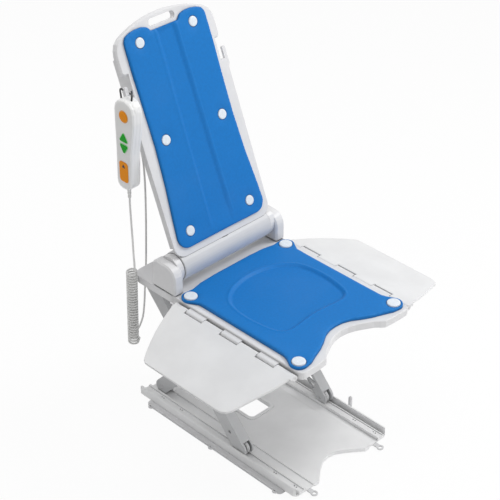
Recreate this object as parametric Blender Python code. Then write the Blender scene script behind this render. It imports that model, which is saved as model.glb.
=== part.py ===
"""Fall recovery lift: a low seat that a scissor frame raises, with a folding backrest.

Units are metres. +Z is up, the person on the seat faces -Y and X runs across. Sizes are
written for the raised seat, measured from the middle of the base on the floor. The last
step moves the whole lift so that the origin lies under the middle of its outline.
"""
import bpy
import bmesh
import math
from mathutils import Matrix, Vector

# Clearances
SEAT_GAP = 0.0003        # between a piece and what it is fastened to
RUN_GAP = 0.0006         # between faces that slide or turn past each other
SIDES = 24               # facets round a large turned piece
SMALL_SIDES = 16         # facets round a pin or a small knob
BORE_PAST = 0.010        # how far a bore's cutter reaches past what it cuts

# Base
BASE_HALF_WIDTH = 0.166
BASE_HALF_LENGTH = 0.282
RAIL_HEIGHT = 0.030
RAIL_WALL = 0.005
GROOVE_WIDTH = 0.0085
GROOVE_FLOOR = 0.0095
RIDGE_WIDTH = 0.003
RIDGE_HEIGHT = 0.018
LEDGE_WIDTH = 0.012
LEDGE_HEIGHT = 0.0154
RIB_WIDTH = 0.006
RIB_HEIGHT = 0.0185
TROUGH_WIDTH = 0.0275
DECK_TOP = 0.0125
DECK_BOTTOM = 0.0025
STRIP_HEIGHT = 0.0065
STRIP_INNER = 0.100
STRIP_PROUD = 0.015      # how far the foot strips stand out past the base's walls
STRIP_FRONT = -0.243
STRIP_REAR = 0.243
LOOP_PLACES = (-0.226, 0.0, 0.226)
DECK_HOLLOW = 0.0485     # how far the deck's front edge curves back from the rails' ends
WINDOW_HALF_WIDTH = 0.036
WINDOW_FRONT = 0.000
WINDOW_REAR = 0.110
WINDOW_LIP = 0.0085
WINDOW_LIP_HEIGHT = 0.002
TRACK_HOLE_RADIUS = 0.002
RING_X = 0.120
RING_REACH = 0.018       # how far the rings' middles lie before the base's front
RING_RADIUS = 0.0090
RING_TONGUE = 0.010      # how far their tongues reach under the base
TRACK_HOLE_SPACING = 0.007

# Scissor frame
LIFT_ANGLE = math.radians(47.5)
ARM_LENGTH = 0.476
ARM_HALF_DEPTH = 0.0205
ARM_INNER_DROP = 0.0125  # how far the outer arm's inner web reaches below its middle line
PIVOT_HEIGHT = 0.033
REAR_PIVOT_Y = 0.240
ARM_FLANGE = 0.005
OUTER_WEB = 0.0065
INNER_WEB = 0.004
LANE_GAP = 0.0008        # side clearance between the arms and between arm and rail
SHAFT_RADIUS = 0.006
PIN_RADIUS = 0.003
ROLLER_WIDTH = 0.0095
SEAT_ROLLER_RADIUS = 0.012
SEAT_PIN_RADIUS = 0.004
CROSS_TUBE_PLACE = 0.100 # how far up the inner arms the tube between them sits
CROSS_TUBE_RADIUS = 0.009
TRACK_WIDTH = 0.015
TRACK_WEB = 0.003
TRACK_TO_ARM = 0.0015    # side clearance between a track and the inner arm

# Seat, and all that it carries, in its own frame, which the arms lift at the pivot
SEAT_FRAME_PIVOT = 0.383944
SEAT_TOP = 0.4104
SEAT_PLATE = 0.0045
SEAT_SKIRT = 0.020
SEAT_WALL = 0.0035
SEAT_HALF_WIDTH = 0.186
SHELF_REAR = 0.266
SHELF_CORNER = 0.030
SEAT_EAR_FRONT = -0.312
SEAT_NOSE_MIDDLE = -0.2605
PAD_THICKNESS = 0.008
SEAT_PAD_HALF_WIDTH = 0.168
SEAT_PAD_REAR = 0.110
SEAT_BUTTON_RADIUS = 0.0165
SEAT_BUTTON_X = 0.163
SEAT_BUTTON_REAR_Y = 0.0804
SEAT_BUTTON_FRONT_Y = -0.2795
BUTTON_RISE = 0.0022
LUG_RADIUS = 0.0125
SLOT_HALF_WIDTH = 0.055
SLOT_FRONT = 0.1515
SLOT_REAR = 0.206

# Side flaps
KNUCKLE_REACH = 0.010    # how far the flap's pin lies outside the seat's edge
FLAP_HINGE_Z = 0.398
KNUCKLE_RADIUS = 0.0075
FLAP_PIN_RADIUS = 0.0025
FLAP_DROOP = math.radians(13.5)
FLAP_WIDTH = 0.177
FLAP_THICKNESS = 0.006
FINGER_PITCH = 0.0597
FINGER_START = 0.1165
FINGER_GAP = 0.0012
FINGER_COUNT = 7

# Backrest hinge
HINGE_Y = 0.152
HINGE_Z = 0.461
BACK_TILT = math.radians(22.3)
BARREL_RADIUS = 0.038
BARREL_HALF = 0.1455
BARREL_SIDES = 36
HINGE_PIN_RADIUS = 0.008
CHEEK_INNER = 0.1585
CHEEK_OUTER = 0.188
CHEEK_FRONT = 0.109
CHEEK_REAR = 0.190
CHEEK_TOP = 0.487
CHEEK_ROUND = 0.034
CHEEK_BOSS_RADIUS = 0.035
CHEEK_BOSS_INNER = 0.147

# Backrest, in its own upright frame: X across, -Y to the front, Z up, origin on the hinge
RIM_FRONT = -0.0327
RIM_THICKNESS = 0.006
RIM_HALF_WIDTH = 0.157
RIM_BOTTOM = 0.022
RIM_CORNER = 0.030
TRAY_HALF_WIDTH = 0.134
TRAY_REAR = 0.0173
TRAY_WALL = 0.004
TRAY_BOTTOM = 0.040
HEAD_BOTTOM = 0.4814
HEAD_TOP = 0.597
HEAD_EDGE = 0.0486       # how far the head's straight sides run up from its bottom
HEAD_SHOULDER = 0.038    # how far its rounded shoulders run up from there
HEAD_DEPTH = 0.016       # from the front to the back of the head's plate
HEAD_BOX_TOP = 0.532     # the box behind the plate, as wide as the tray
HEAD_BOX_SHOULDER = 0.516
HANDLE_HALF_WIDTH = 0.040
HANDLE_LOW = 0.566
HANDLE_HIGH = 0.585
BACK_PAD_THICKNESS = 0.006
BACK_PAD_BOTTOM = 0.0389
BACK_PAD_HALF_LOW = 0.142
BACK_PAD_HALF_MIDDLE = 0.126
BACK_BUTTON_RADIUS = 0.0125

# Drive on the back of the backrest
TUBE_BACK = 0.050        # how far the drive tube's middle lies behind the hinge
TUBE_RADIUS = 0.013
TUBE_WALL = 0.0025
ROD_RADIUS = 0.008
ROD_GUIDE = 0.014        # length of the guide at the rod's upper end
ROD_REACH = 0.036        # how far the rod reaches below the hinge, into the shelf's slot
BRACKET_HIGH = 0.080
BRACKET_HALF_WIDTH = 0.060
BOX_LOW = 0.4106
BOX_HIGH = 0.481
BOX_HALF_WIDTH = 0.058
BOX_REAR = 0.066
BOX_WALL = 0.003
COVER_HALF_WIDTH = 0.0355
COVER_HALF_HEIGHT = 0.0185

# Hooks at the sides of the backrest, for the handset's loop
HOOK_OUTER = 0.161
HOOK_INNER = 0.151
HOOK_TOP = 0.4584
HOOK_SLOT_BOTTOM = 0.4284
HOOK_ROOT = 0.412
HOOK_DEPTH = 0.012

# Handset, upright on the left side
HANDSET_X = -0.1828
HANDSET_Y = 0.2625
HANDSET_TOP = 0.892
HANDSET_BOTTOM = 0.652
HANDSET_LEAN = 0.0105    # how far the handset's foot hangs behind its head
HANDSET_HALF_TOP = 0.033
HANDSET_HALF_BOTTOM = 0.0245
HANDSET_HALF_DEPTH = 0.0172
HANDSET_SHELL = 0.0025
ROUND_BUTTON_RADIUS = 0.0135
ROUND_BUTTON_Z = 0.8523
UP_BUTTON_Z = 0.7976
DOWN_BUTTON_Z = 0.7648
ARROW_WIDTH = 0.029
ARROW_HEIGHT = 0.024
HANDSET_BUTTON_RISE = 0.0025
PANEL_LOW = 0.6754
PANEL_HIGH = 0.7296
PANEL_HALF_WIDTH = 0.015
RELIEF_LENGTH = 0.030
RELIEF_RADIUS = 0.0055
LOOP_RADIUS = 0.0016

# Cord
CORD_RADIUS = 0.0025
COIL_RADIUS = 0.0120     # from the coil's middle line to the cord's
COIL_TURNS = 28
COIL_PITCH = 0.0078
COIL_X = -0.2060
COIL_TOP_Y = 0.2461
COIL_TOP_Z = 0.4305
COIL_LEAN = 0.0295       # how far the coil drifts back for each metre down
PLUG_BACK = 0.040
PLUG_HEIGHT = 0.446
PLUG_OUTER = 0.086


def material(name, colour, roughness, metallic=0.0):
    """Return a plain surface with the given colour and finish."""
    made = bpy.data.materials.new(name)
    made.use_nodes = True
    shader = made.node_tree.nodes["Principled BSDF"]
    shader.inputs["Base Color"].default_value = (*colour, 1.0)
    shader.inputs["Roughness"].default_value = roughness
    shader.inputs["Metallic"].default_value = metallic
    made.diffuse_color = (*colour, 1.0)
    return made


def frame(name, parent, location, tilt=0.0, roll=0.0):
    """Return an empty at a joint, tilted about X or rolled about Y."""
    empty = bpy.data.objects.new(name, None)
    bpy.context.scene.collection.objects.link(empty)
    empty.parent = parent
    empty.location = location
    empty.rotation_euler = (tilt, roll, 0.0)
    return empty


def add_object(name, mesh, surface, parent, smooth=True):
    """Link a finished mesh as one named piece of the lift."""
    mesh.materials.clear()
    mesh.materials.append(surface)
    if smooth:
        mesh.shade_smooth()
        mesh.set_sharp_from_angle(angle=math.radians(35))
    piece = bpy.data.objects.new(name, mesh)
    bpy.context.scene.collection.objects.link(piece)
    piece.parent = parent
    return piece


def close_shape(shape, name):
    """Turn a bmesh into a mesh whose faces point out."""
    bmesh.ops.recalc_face_normals(shape, faces=shape.faces)
    mesh = bpy.data.meshes.new(name)
    shape.to_mesh(mesh)
    shape.free()
    return mesh


def place(point, along, offset):
    """Put a flat point into space: along is the axis that the outline is drawn out on."""
    first, second = point
    if along == "X":
        return Vector((offset, first, second))
    if along == "Y":
        return Vector((first, offset, second))
    return Vector((first, second, offset))


def add_prism(shape, outline, low, high, along):
    """Draw a closed outline out between two offsets along one axis."""
    bottom = [shape.verts.new(place(point, along, low)) for point in outline]
    top = [shape.verts.new(place(point, along, high)) for point in outline]
    shape.faces.new(bottom)
    shape.faces.new(top[::-1])
    count = len(outline)
    for index in range(count):
        after = (index + 1) % count
        shape.faces.new((bottom[after], bottom[index], top[index], top[after]))


def prism(outlines, low, high, along):
    """Return a mesh of one prism, or of a group of them."""
    shape = bmesh.new()
    for outline in outlines:
        add_prism(shape, outline, low, high, along)
    return close_shape(shape, "prism")


def add_box(shape, low, high):
    """Add a box between two corners."""
    outline = [(low[0], low[1]), (high[0], low[1]), (high[0], high[1]), (low[0], high[1])]
    add_prism(shape, outline, low[2], high[2], "Z")


def box(low, high):
    """Return a box mesh between two corners."""
    shape = bmesh.new()
    add_box(shape, low, high)
    return close_shape(shape, "box")


def circle(middle, radius, sides=SIDES, start=0.0, turn=math.tau):
    """Return points round a circle, or along an arc that ends on its last point."""
    whole = abs(turn) >= math.tau
    steps = sides if whole else sides + 1
    angles = [start + turn * index / sides for index in range(steps)]
    return [(middle[0] + radius * math.cos(a), middle[1] + radius * math.sin(a)) for a in angles]


def add_rod(shape, start, end, radius, sides=SIDES):
    """Add a round bar from one point to another."""
    start = Vector(start)
    end = Vector(end)
    turn = (end - start).to_track_quat("Z", "Y").to_matrix().to_4x4()
    middle = Matrix.Translation((start + end) / 2)
    bmesh.ops.create_cone(shape, cap_ends=True, segments=sides, radius1=radius, radius2=radius,
                          depth=(end - start).length, matrix=middle @ turn)


def rod(start, end, radius, sides=SIDES):
    """Return a round bar mesh."""
    shape = bmesh.new()
    add_rod(shape, start, end, radius, sides)
    return close_shape(shape, "rod")


def rounded(corners, steps=4):
    """Return an outline whose corners (x, y, radius) are rounded by arcs."""
    outline = []
    count = len(corners)
    for index, (x, y, radius) in enumerate(corners):
        here = Vector((x, y))
        if radius <= 0:
            outline.append((x, y))
            continue
        before = Vector(corners[index - 1][:2]) - here
        after = Vector(corners[(index + 1) % count][:2]) - here
        half = before.angle(after) / 2
        reach = radius / math.tan(half)
        start = here + before.normalized() * reach
        end = here + after.normalized() * reach
        inward = (before.normalized() + after.normalized()).normalized()
        middle = here + inward * (radius / math.sin(half))
        first = start - middle
        sweep = first.angle_signed(end - middle)
        for step in range(steps + 1):
            spoke = first.copy()
            spoke.rotate(Matrix.Rotation(-sweep * step / steps, 2))
            outline.append(tuple(middle + spoke))
    return outline


def mirrored(outline):
    """Return an outline flipped across the middle of the lift."""
    return [(-first, second) for first, second in outline]


def combine(piece, mesh, operation):
    """Cut a mesh out of a piece, or join it on."""
    tool = bpy.data.objects.new(piece.name + "_tool", mesh)
    bpy.context.scene.collection.objects.link(tool)
    tool.parent = piece.parent
    tool.hide_render = True
    tool.display_type = "WIRE"
    step = piece.modifiers.new(operation.lower(), "BOOLEAN")
    step.operation = operation
    step.solver = "EXACT"
    step.object = tool
    return tool


def cut(piece, mesh):
    """Cut a mesh out of a piece."""
    return combine(piece, mesh, "DIFFERENCE")


def join(piece, mesh):
    """Join a mesh to a piece."""
    return combine(piece, mesh, "UNION")


def soften(piece, width, angle=40, segments=1):
    """Round a piece's sharp edges."""
    step = piece.modifiers.new("rounding", "BEVEL")
    step.width = width
    step.segments = segments
    step.limit_method = "ANGLE"
    step.angle_limit = math.radians(angle)
    return step


def pair(name, build, surface, parent, **options):
    """Build a left and a right piece from one function of the side."""
    left = add_object(name + "_left", build(-1), surface, parent, **options)
    right = add_object(name + "_right", build(1), surface, parent, **options)
    return left, right


def arc_through(first, middle, last, steps):
    """Return points on the circle arc through three flat points."""
    a = Vector(first)
    b = Vector(middle)
    c = Vector(last)
    turn = 2 * ((b - a).x * (c - a).y - (b - a).y * (c - a).x)
    ab = (b - a).length_squared
    ac = (c - a).length_squared
    centre = a + Vector(((c - a).y * ab - (b - a).y * ac, (b - a).x * ac - (c - a).x * ab)) / turn
    start = a - centre
    sweep = start.angle_signed(b - centre) + (b - centre).angle_signed(c - centre)
    points = []
    for step in range(steps + 1):
        spoke = start.copy()
        spoke.rotate(Matrix.Rotation(-sweep * step / steps, 2))
        points.append(tuple(centre + spoke))
    return points


# Places across the base that the rails, arms and rollers share
STRIP_OUTER = BASE_HALF_WIDTH + STRIP_PROUD
RING_Y = -BASE_HALF_LENGTH - RING_REACH
GROOVE_OUTER = BASE_HALF_WIDTH - RAIL_WALL
GROOVE_INNER = GROOVE_OUTER - GROOVE_WIDTH
LEDGE_OUTER = GROOVE_INNER - RIDGE_WIDTH
LEDGE_INNER = LEDGE_OUTER - LEDGE_WIDTH
RIB_INNER = LEDGE_INNER - RIB_WIDTH
TROUGH_INNER = RIB_INNER - TROUGH_WIDTH
OUTER_ARM_OUTER = GROOVE_OUTER - LANE_GAP
OUTER_ARM_WEB = OUTER_ARM_OUTER - OUTER_WEB
OUTER_ARM_INNER = RIB_INNER - RUN_GAP
INNER_ARM_OUTER = OUTER_ARM_INNER - RUN_GAP
INNER_ARM_INNER = TROUGH_INNER + RUN_GAP
ROLLER_MIDDLE = (LEDGE_INNER + LEDGE_OUTER) / 2
BASE_ROLLER_RADIUS = PIVOT_HEIGHT - LEDGE_HEIGHT - SEAT_GAP
ARM_REACH = ARM_LENGTH * math.cos(LIFT_ANGLE)
ARM_RISE = ARM_LENGTH * math.sin(LIFT_ANGLE)
SLIDER_Y = REAR_PIVOT_Y - ARM_REACH
SEAT_PIVOT_Z = PIVOT_HEIGHT + ARM_RISE
CENTRE_Y = REAR_PIVOT_Y - ARM_REACH / 2
CENTRE_Z = PIVOT_HEIGHT + ARM_RISE / 2
LOWEST_ANGLE = math.radians(2.2)
LOWEST_SLIDER_Y = REAR_PIVOT_Y - ARM_LENGTH * math.cos(LOWEST_ANGLE)
SEAT_UNDERSIDE = SEAT_TOP - SEAT_PLATE
FLAP_HINGE_X = SEAT_HALF_WIDTH + KNUCKLE_REACH
SEAT_SKIRT_LOW = SEAT_TOP - SEAT_SKIRT
TRACK_OUTER = INNER_ARM_INNER - TRACK_TO_ARM
TRACK_WEB_INNER = TRACK_OUTER - TRACK_WIDTH
SEAT_ROLLER_MIDDLE = TRACK_WEB_INNER + TRACK_WEB + 2 * RUN_GAP + ROLLER_WIDTH / 2
HANDSET_FRONT = HANDSET_X - HANDSET_HALF_DEPTH
HANDSET_BACK = HANDSET_X + HANDSET_HALF_DEPTH
RELIEF_Y = HANDSET_Y + HANDSET_LEAN / 2


def rail_section():
    """Return the base's outline across the lift, from wall to wall."""
    half = [
        (0.0, DECK_TOP),
        (TROUGH_INNER - 0.0005, DECK_TOP),
        (TROUGH_INNER, GROOVE_FLOOR),
        (RIB_INNER, GROOVE_FLOOR),
        (RIB_INNER, RIB_HEIGHT),
        (LEDGE_INNER, RIB_HEIGHT),
        (LEDGE_INNER, LEDGE_HEIGHT),
        (LEDGE_OUTER, LEDGE_HEIGHT),
        (LEDGE_OUTER, RIDGE_HEIGHT),
        (GROOVE_INNER, RIDGE_HEIGHT),
        (GROOVE_INNER, GROOVE_FLOOR),
        (GROOVE_OUTER, GROOVE_FLOOR),
        (GROOVE_OUTER, RAIL_HEIGHT),
        (BASE_HALF_WIDTH - 0.0015, RAIL_HEIGHT),
        (BASE_HALF_WIDTH, RAIL_HEIGHT - 0.002),
        (BASE_HALF_WIDTH, STRIP_HEIGHT + SEAT_GAP),
        (STRIP_INNER - 0.002, STRIP_HEIGHT + SEAT_GAP),
        (STRIP_INNER - 0.002, DECK_BOTTOM),
    ]
    return half + mirrored(half)[:0:-1]


def deck_front():
    """Return the region in front of the base: its edge curves back between the rails."""
    front = -BASE_HALF_LENGTH
    side = [(0.134, front + 0.0005), (0.115, front - 0.008), (0.093, front - 0.008),
            (0.078, front + 0.005), (0.0447, front + 0.031), (0.020, front + DECK_HOLLOW - 0.003)]
    edge = side + [(0.0, front + DECK_HOLLOW)] + mirrored(side)[::-1]
    wall = BASE_HALF_WIDTH
    corner = rounded([(0.134, front + 0.0005, 0), (wall - 0.006, front + 0.0005, 0.010),
                      (wall + 0.002, front + 0.014, 0.006), (wall + 0.024, front + 0.014, 0),
                      (wall + 0.024, front - 0.048, 0), (0.134, front - 0.048, 0)])
    return edge[::-1] + corner[1:-1] + mirrored(corner)[-2:0:-1]


def base_plate(root, plastic):
    """Build the base: two channelled rails and the deck between them."""
    body = prism([rail_section()], -BASE_HALF_LENGTH, BASE_HALF_LENGTH, "Y")
    piece = add_object("base_plate", body, plastic, root)
    cut(piece, prism([deck_front()], -0.01, 0.05, "Z"))
    lip = WINDOW_HALF_WIDTH + WINDOW_LIP
    frame_outline = rounded([
        (-lip, WINDOW_FRONT - WINDOW_LIP, 0.016), (lip, WINDOW_FRONT - WINDOW_LIP, 0.016),
        (lip, WINDOW_REAR + WINDOW_LIP, 0.016), (-lip, WINDOW_REAR + WINDOW_LIP, 0.016)])
    join(piece, prism([frame_outline], DECK_TOP - 0.002, DECK_TOP + WINDOW_LIP_HEIGHT, "Z"))
    window = rounded([
        (-WINDOW_HALF_WIDTH, WINDOW_FRONT, 0.012), (WINDOW_HALF_WIDTH, WINDOW_FRONT, 0.012),
        (WINDOW_HALF_WIDTH, WINDOW_REAR, 0.012), (-WINDOW_HALF_WIDTH, WINDOW_REAR, 0.012)])
    cut(piece, prism([window], -0.01, 0.05, "Z"))
    cut(piece, track_holes())
    join(piece, pivot_bosses())
    bore = TROUGH_INNER + 0.001
    cut(piece, rod((-bore, REAR_PIVOT_Y, PIVOT_HEIGHT), (bore, REAR_PIVOT_Y, PIVOT_HEIGHT),
                   SHAFT_RADIUS + SEAT_GAP, SMALL_SIDES))
    return piece


def track_holes():
    """Return the pairs of small drain holes in the two roller tracks."""
    shape = bmesh.new()
    for side in (-1, 1):
        for middle in (-0.259, -0.19, 0.15, 0.22):
            for step in (-0.5, 0.5):
                place_y = middle + step * TRACK_HOLE_SPACING
                add_rod(shape, (side * ROLLER_MIDDLE, place_y, LEDGE_HEIGHT - 0.004),
                        (side * ROLLER_MIDDLE, place_y, LEDGE_HEIGHT + 0.004), TRACK_HOLE_RADIUS, 6)
    return close_shape(shape, "holes")


def pivot_bosses():
    """Return the two bearing blocks that hold the rear pivot shaft beside the inner arms."""
    outline = [(REAR_PIVOT_Y + 0.018, DECK_TOP - 0.002)]
    outline += circle((REAR_PIVOT_Y, PIVOT_HEIGHT), 0.0115, 10, 0.0, math.pi)
    outline += [(REAR_PIVOT_Y - 0.018, DECK_TOP - 0.002)]
    shape = bmesh.new()
    inner = INNER_ARM_INNER - RUN_GAP
    add_prism(shape, outline, inner - 0.009, inner, "X")
    add_prism(shape, outline, -inner, -inner + 0.009, "X")
    return close_shape(shape, "bosses")


def foot_strip(side):
    """Build one rubber foot strip."""
    outline = rounded([
        (side * STRIP_INNER, STRIP_FRONT, 0.010), (side * STRIP_OUTER, STRIP_FRONT, 0.010),
        (side * STRIP_OUTER, STRIP_REAR, 0.010), (side * STRIP_INNER, STRIP_REAR, 0.010)])
    return prism([outline], 0.0, STRIP_HEIGHT, "Z")


def release_loop(side, middle_y):
    """Return one C-shaped pull loop at a foot strip's outer edge."""
    start = (side * (STRIP_OUTER - 0.001), middle_y)
    outer = circle(start, 0.0076, 6, -math.pi / 2, side * math.pi)
    inner = circle(start, 0.0042, 5, -math.pi / 2, side * math.pi)
    return prism([outer + inner[::-1]], 0.0012, 0.0055, "Z")


def release_peg(root, rubber):
    """Build the upright peg beside the right foot strip."""
    middle = (STRIP_OUTER + 0.0002, -0.137)
    shape = bmesh.new()
    profile = [(0.0, 0.0002), (0.0052, 0.0002), (0.0052, 0.031), (0.0045, 0.0345), (0.0025, 0.0368),
               (0.0, 0.0375)]
    spin_profile(shape, profile, (middle[0] + 0.0055, middle[1], 0.0), 10)
    return add_object("release_peg", close_shape(shape, "peg"), rubber, root)


def spin_profile(shape, profile, middle, sides):
    """Add a turned shape: the profile (radius, height) starts and ends on its axis."""
    rings = []
    for radius, height in profile:
        if radius == 0.0:
            rings.append([shape.verts.new((middle[0], middle[1], middle[2] + height))])
            continue
        ring = circle(middle[:2], radius, sides)
        rings.append([shape.verts.new((x, y, middle[2] + height)) for x, y in ring])
    for lower, upper in zip(rings, rings[1:]):
        for index in range(sides):
            after = (index + 1) % sides
            corners = [lower[index % len(lower)], lower[after % len(lower)],
                       upper[after % len(upper)], upper[index % len(upper)]]
            shape.faces.new(list(dict.fromkeys(corners)))


def pull_ring(side):
    """Build one ring at the front of the deck, on a flat tongue."""
    x = side * RING_X
    outline = circle((x, RING_Y), RING_RADIUS, 12, math.pi * 0.75, math.pi * 1.5)
    rear = RING_TONGUE - BASE_HALF_LENGTH
    outline += [(x + 0.006, rear), (x - 0.006, rear)]
    return prism([outline], STRIP_HEIGHT - 0.0032, STRIP_HEIGHT, "Z")


def base_pivot_shaft(root, steel):
    """Build the shaft that the inner arms turn on."""
    reach = INNER_ARM_OUTER
    bar = rod((-reach, REAR_PIVOT_Y, PIVOT_HEIGHT), (reach, REAR_PIVOT_Y, PIVOT_HEIGHT),
              SHAFT_RADIUS, SMALL_SIDES)
    return add_object("base_pivot_shaft", bar, steel, root)


def build_base(root, looks):
    """Build everything that stands on the floor."""
    base_plate(root, looks["base"])
    for side, strip in zip((-1, 1), pair("foot_strip", foot_strip, looks["rubber"], root)):
        for middle_y in LOOP_PLACES:
            join(strip, release_loop(side, middle_y))
    release_peg(root, looks["rubber"])
    rings = pair("pull_ring", pull_ring, looks["rubber"], root)
    for side, ring in zip((-1, 1), rings):
        x = side * RING_X
        cut(ring, rod((x, RING_Y, 0.0), (x, RING_Y, 0.01), RING_RADIUS - 0.004, 12))
    base_pivot_shaft(root, looks["steel"])


def arm_outline(drop, start, end, half=ARM_HALF_DEPTH):
    """Return an arm's outline in its own frame, along Y, round about each end pivot."""
    low = min(drop, half)
    return (circle((start, 0.0), low, 8, math.pi, math.pi / 2)
            + circle((end, 0.0), low, 8, -math.pi / 2, math.pi / 2)
            + circle((end, 0.0), half, 6, 0.0, math.pi / 2)[1:]
            + circle((start, 0.0), half, 6, math.pi / 2, math.pi / 2)[:-1])


def outer_arm(side):
    """Build one outer arm: a U-channel whose flange faces up and forward."""
    half = ARM_LENGTH / 2
    shape = bmesh.new()
    web = arm_outline(ARM_HALF_DEPTH, -half, half)
    inner = sorted((side * OUTER_ARM_WEB, side * OUTER_ARM_OUTER))
    add_prism(shape, web, inner[0], inner[1], "X")
    return close_shape(shape, "arm")


def outer_arm_inner_web(side):
    """Return an outer arm's inner web, shallower so that it clears the track's rib."""
    half = ARM_LENGTH / 2
    outline = arm_outline(ARM_INNER_DROP, -half, half)
    reach = sorted((side * OUTER_ARM_INNER, side * (OUTER_ARM_INNER + INNER_WEB)))
    return prism([outline], reach[0], reach[1], "X")


def outer_arm_flange(side):
    """Return the flange that joins an outer arm's two webs along its upper face."""
    half = ARM_LENGTH / 2
    low = ARM_HALF_DEPTH - ARM_FLANGE
    start = -half + 0.010
    outline = [(start, low), (half - 0.030, low), (half - 0.030, ARM_HALF_DEPTH),
               (start, ARM_HALF_DEPTH)]
    reach = sorted((side * OUTER_ARM_INNER, side * (OUTER_ARM_OUTER - 0.001)))
    return prism([outline], reach[0], reach[1], "X")


def truss_openings(reach, start, end, low, high, count):
    """Return the triangular openings in an arm's web, alternately up and down."""
    shape = bmesh.new()
    pitch = (end - start) / count
    rib = 0.0045
    for index in range(count):
        left = start + pitch * index + rib
        right = start + pitch * (index + 1) - rib
        middle = (left + right) / 2
        foot = [(left - rib, low), (middle - rib, low), (left - rib, high - rib)]
        head = [(left + rib, high), (middle + rib / 2, low + rib / 2), (right, high)]
        add_prism(shape, foot, *reach, "X")
        add_prism(shape, head, *reach, "X")
    return close_shape(shape, "openings")


def cross_rod(reach, along, radius, sides=SMALL_SIDES):
    """Return a bar across an arm's frame at a distance along the arm."""
    return rod((reach[0], along, 0.0), (reach[1], along, 0.0), radius, sides)


def build_outer_arms(joint, looks):
    """Build the outer arms, which run from the base's tracks up to the seat's rear."""
    half = ARM_LENGTH / 2
    arms = pair("scissor_arm_outer", outer_arm, looks["arm"], joint)
    for side, arm in zip((-1, 1), arms):
        join(arm, outer_arm_inner_web(side))
        join(arm, outer_arm_flange(side))
        inner = sorted((side * (OUTER_ARM_INNER - 0.002), side * (OUTER_ARM_INNER + INNER_WEB + 0.002)))
        low = -ARM_INNER_DROP + 0.004
        high = ARM_HALF_DEPTH - ARM_FLANGE - 0.002
        cut(arm, truss_openings(inner, -half + 0.030, -0.014, low, high, 3))
        cut(arm, truss_openings(inner, 0.014, half - 0.030, low, high, 3))
        across = (side * (OUTER_ARM_INNER - BORE_PAST), side * (OUTER_ARM_OUTER + BORE_PAST))
        cut(arm, cross_rod(across, 0.0, SHAFT_RADIUS + SEAT_GAP))
        cut(arm, cross_rod(across, -half, PIN_RADIUS + SEAT_GAP))
        cut(arm, cross_rod(across, half, SEAT_PIN_RADIUS + SEAT_GAP))
        outboard = (side * (OUTER_ARM_OUTER - 0.003), side * (OUTER_ARM_OUTER + 0.003))
        cut(arm, cross_rod(outboard, -half + 0.050, 0.0045))
    centre_shaft = cross_rod((-OUTER_ARM_OUTER + 0.001, OUTER_ARM_OUTER - 0.001), 0.0, SHAFT_RADIUS)
    add_object("centre_shaft", centre_shaft, looks["steel"], joint)


def roller(radius, axle, wheel_reach, axle_reach, side):
    """Return a roller with its axle: a piece turned about X, on one side of the lift."""
    low, high = wheel_reach
    start, end = axle_reach
    profile = [(0.0, start), (axle, start), (axle, low), (radius - 0.001, low), (radius, low + 0.001),
               (radius, high - 0.001), (radius - 0.001, high), (axle, high), (axle, end), (0.0, end)]
    shape = bmesh.new()
    spin_profile(shape, profile, (0.0, 0.0, 0.0), 16)
    bmesh.ops.rotate(shape, verts=shape.verts, matrix=Matrix.Rotation(side * math.pi / 2, 3, "Y"))
    return close_shape(shape, "roller")


def build_base_rollers(joint, looks):
    """Build the rollers that carry the outer arms along the base's ledges."""
    wheel_reach = (ROLLER_MIDDLE - ROLLER_WIDTH / 2, ROLLER_MIDDLE + ROLLER_WIDTH / 2)
    axle_reach = (OUTER_ARM_INNER + 0.0005, OUTER_ARM_OUTER - 0.0005)
    for side, label in ((-1, "left"), (1, "right")):
        centre = frame("base_roller_joint_" + label, joint, (0.0, -ARM_LENGTH / 2, 0.0))
        wheel = roller(BASE_ROLLER_RADIUS, PIN_RADIUS, wheel_reach, axle_reach, side)
        add_object("base_roller_" + label, wheel, looks["nylon"], centre)


def inner_arm(side):
    """Build one inner arm, which runs forward and up; the arm lies along -Y from its pivot."""
    outline = arm_outline(ARM_HALF_DEPTH, -ARM_LENGTH, 0.0)
    reach = sorted((side * INNER_ARM_INNER, side * INNER_ARM_OUTER))
    return prism([outline], reach[0], reach[1], "X")


def build_inner_arms(joint, looks):
    """Build the inner arms, which run from the base's rear shaft to the seat's tracks."""
    arms = pair("scissor_arm_inner", inner_arm, looks["arm"], joint)
    pocket_depth = INNER_ARM_OUTER - INNER_ARM_INNER - 0.005
    for side, arm in zip((-1, 1), arms):
        pocket = sorted((side * (INNER_ARM_INNER - 0.002), side * (INNER_ARM_INNER + pocket_depth)))
        low = -ARM_HALF_DEPTH + 0.004
        high = ARM_HALF_DEPTH - 0.004
        cut(arm, truss_openings(pocket, -ARM_LENGTH + 0.026, -ARM_LENGTH / 2 - 0.014, low, high, 4))
        cut(arm, truss_openings(pocket, -ARM_LENGTH / 2 + 0.014, -0.026, low, high, 4))
        across = (side * (INNER_ARM_INNER - BORE_PAST), side * (INNER_ARM_OUTER + BORE_PAST))
        cut(arm, cross_rod(across, 0.0, SHAFT_RADIUS + SEAT_GAP))
        cut(arm, cross_rod(across, -ARM_LENGTH / 2, SHAFT_RADIUS + SEAT_GAP))
        cut(arm, cross_rod(across, -ARM_LENGTH, SEAT_PIN_RADIUS + SEAT_GAP))
    tube = cross_rod((-INNER_ARM_INNER + SEAT_GAP, INNER_ARM_INNER - SEAT_GAP),
                     -CROSS_TUBE_PLACE, CROSS_TUBE_RADIUS)
    add_object("cross_tube", tube, looks["steel"], joint)


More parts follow.
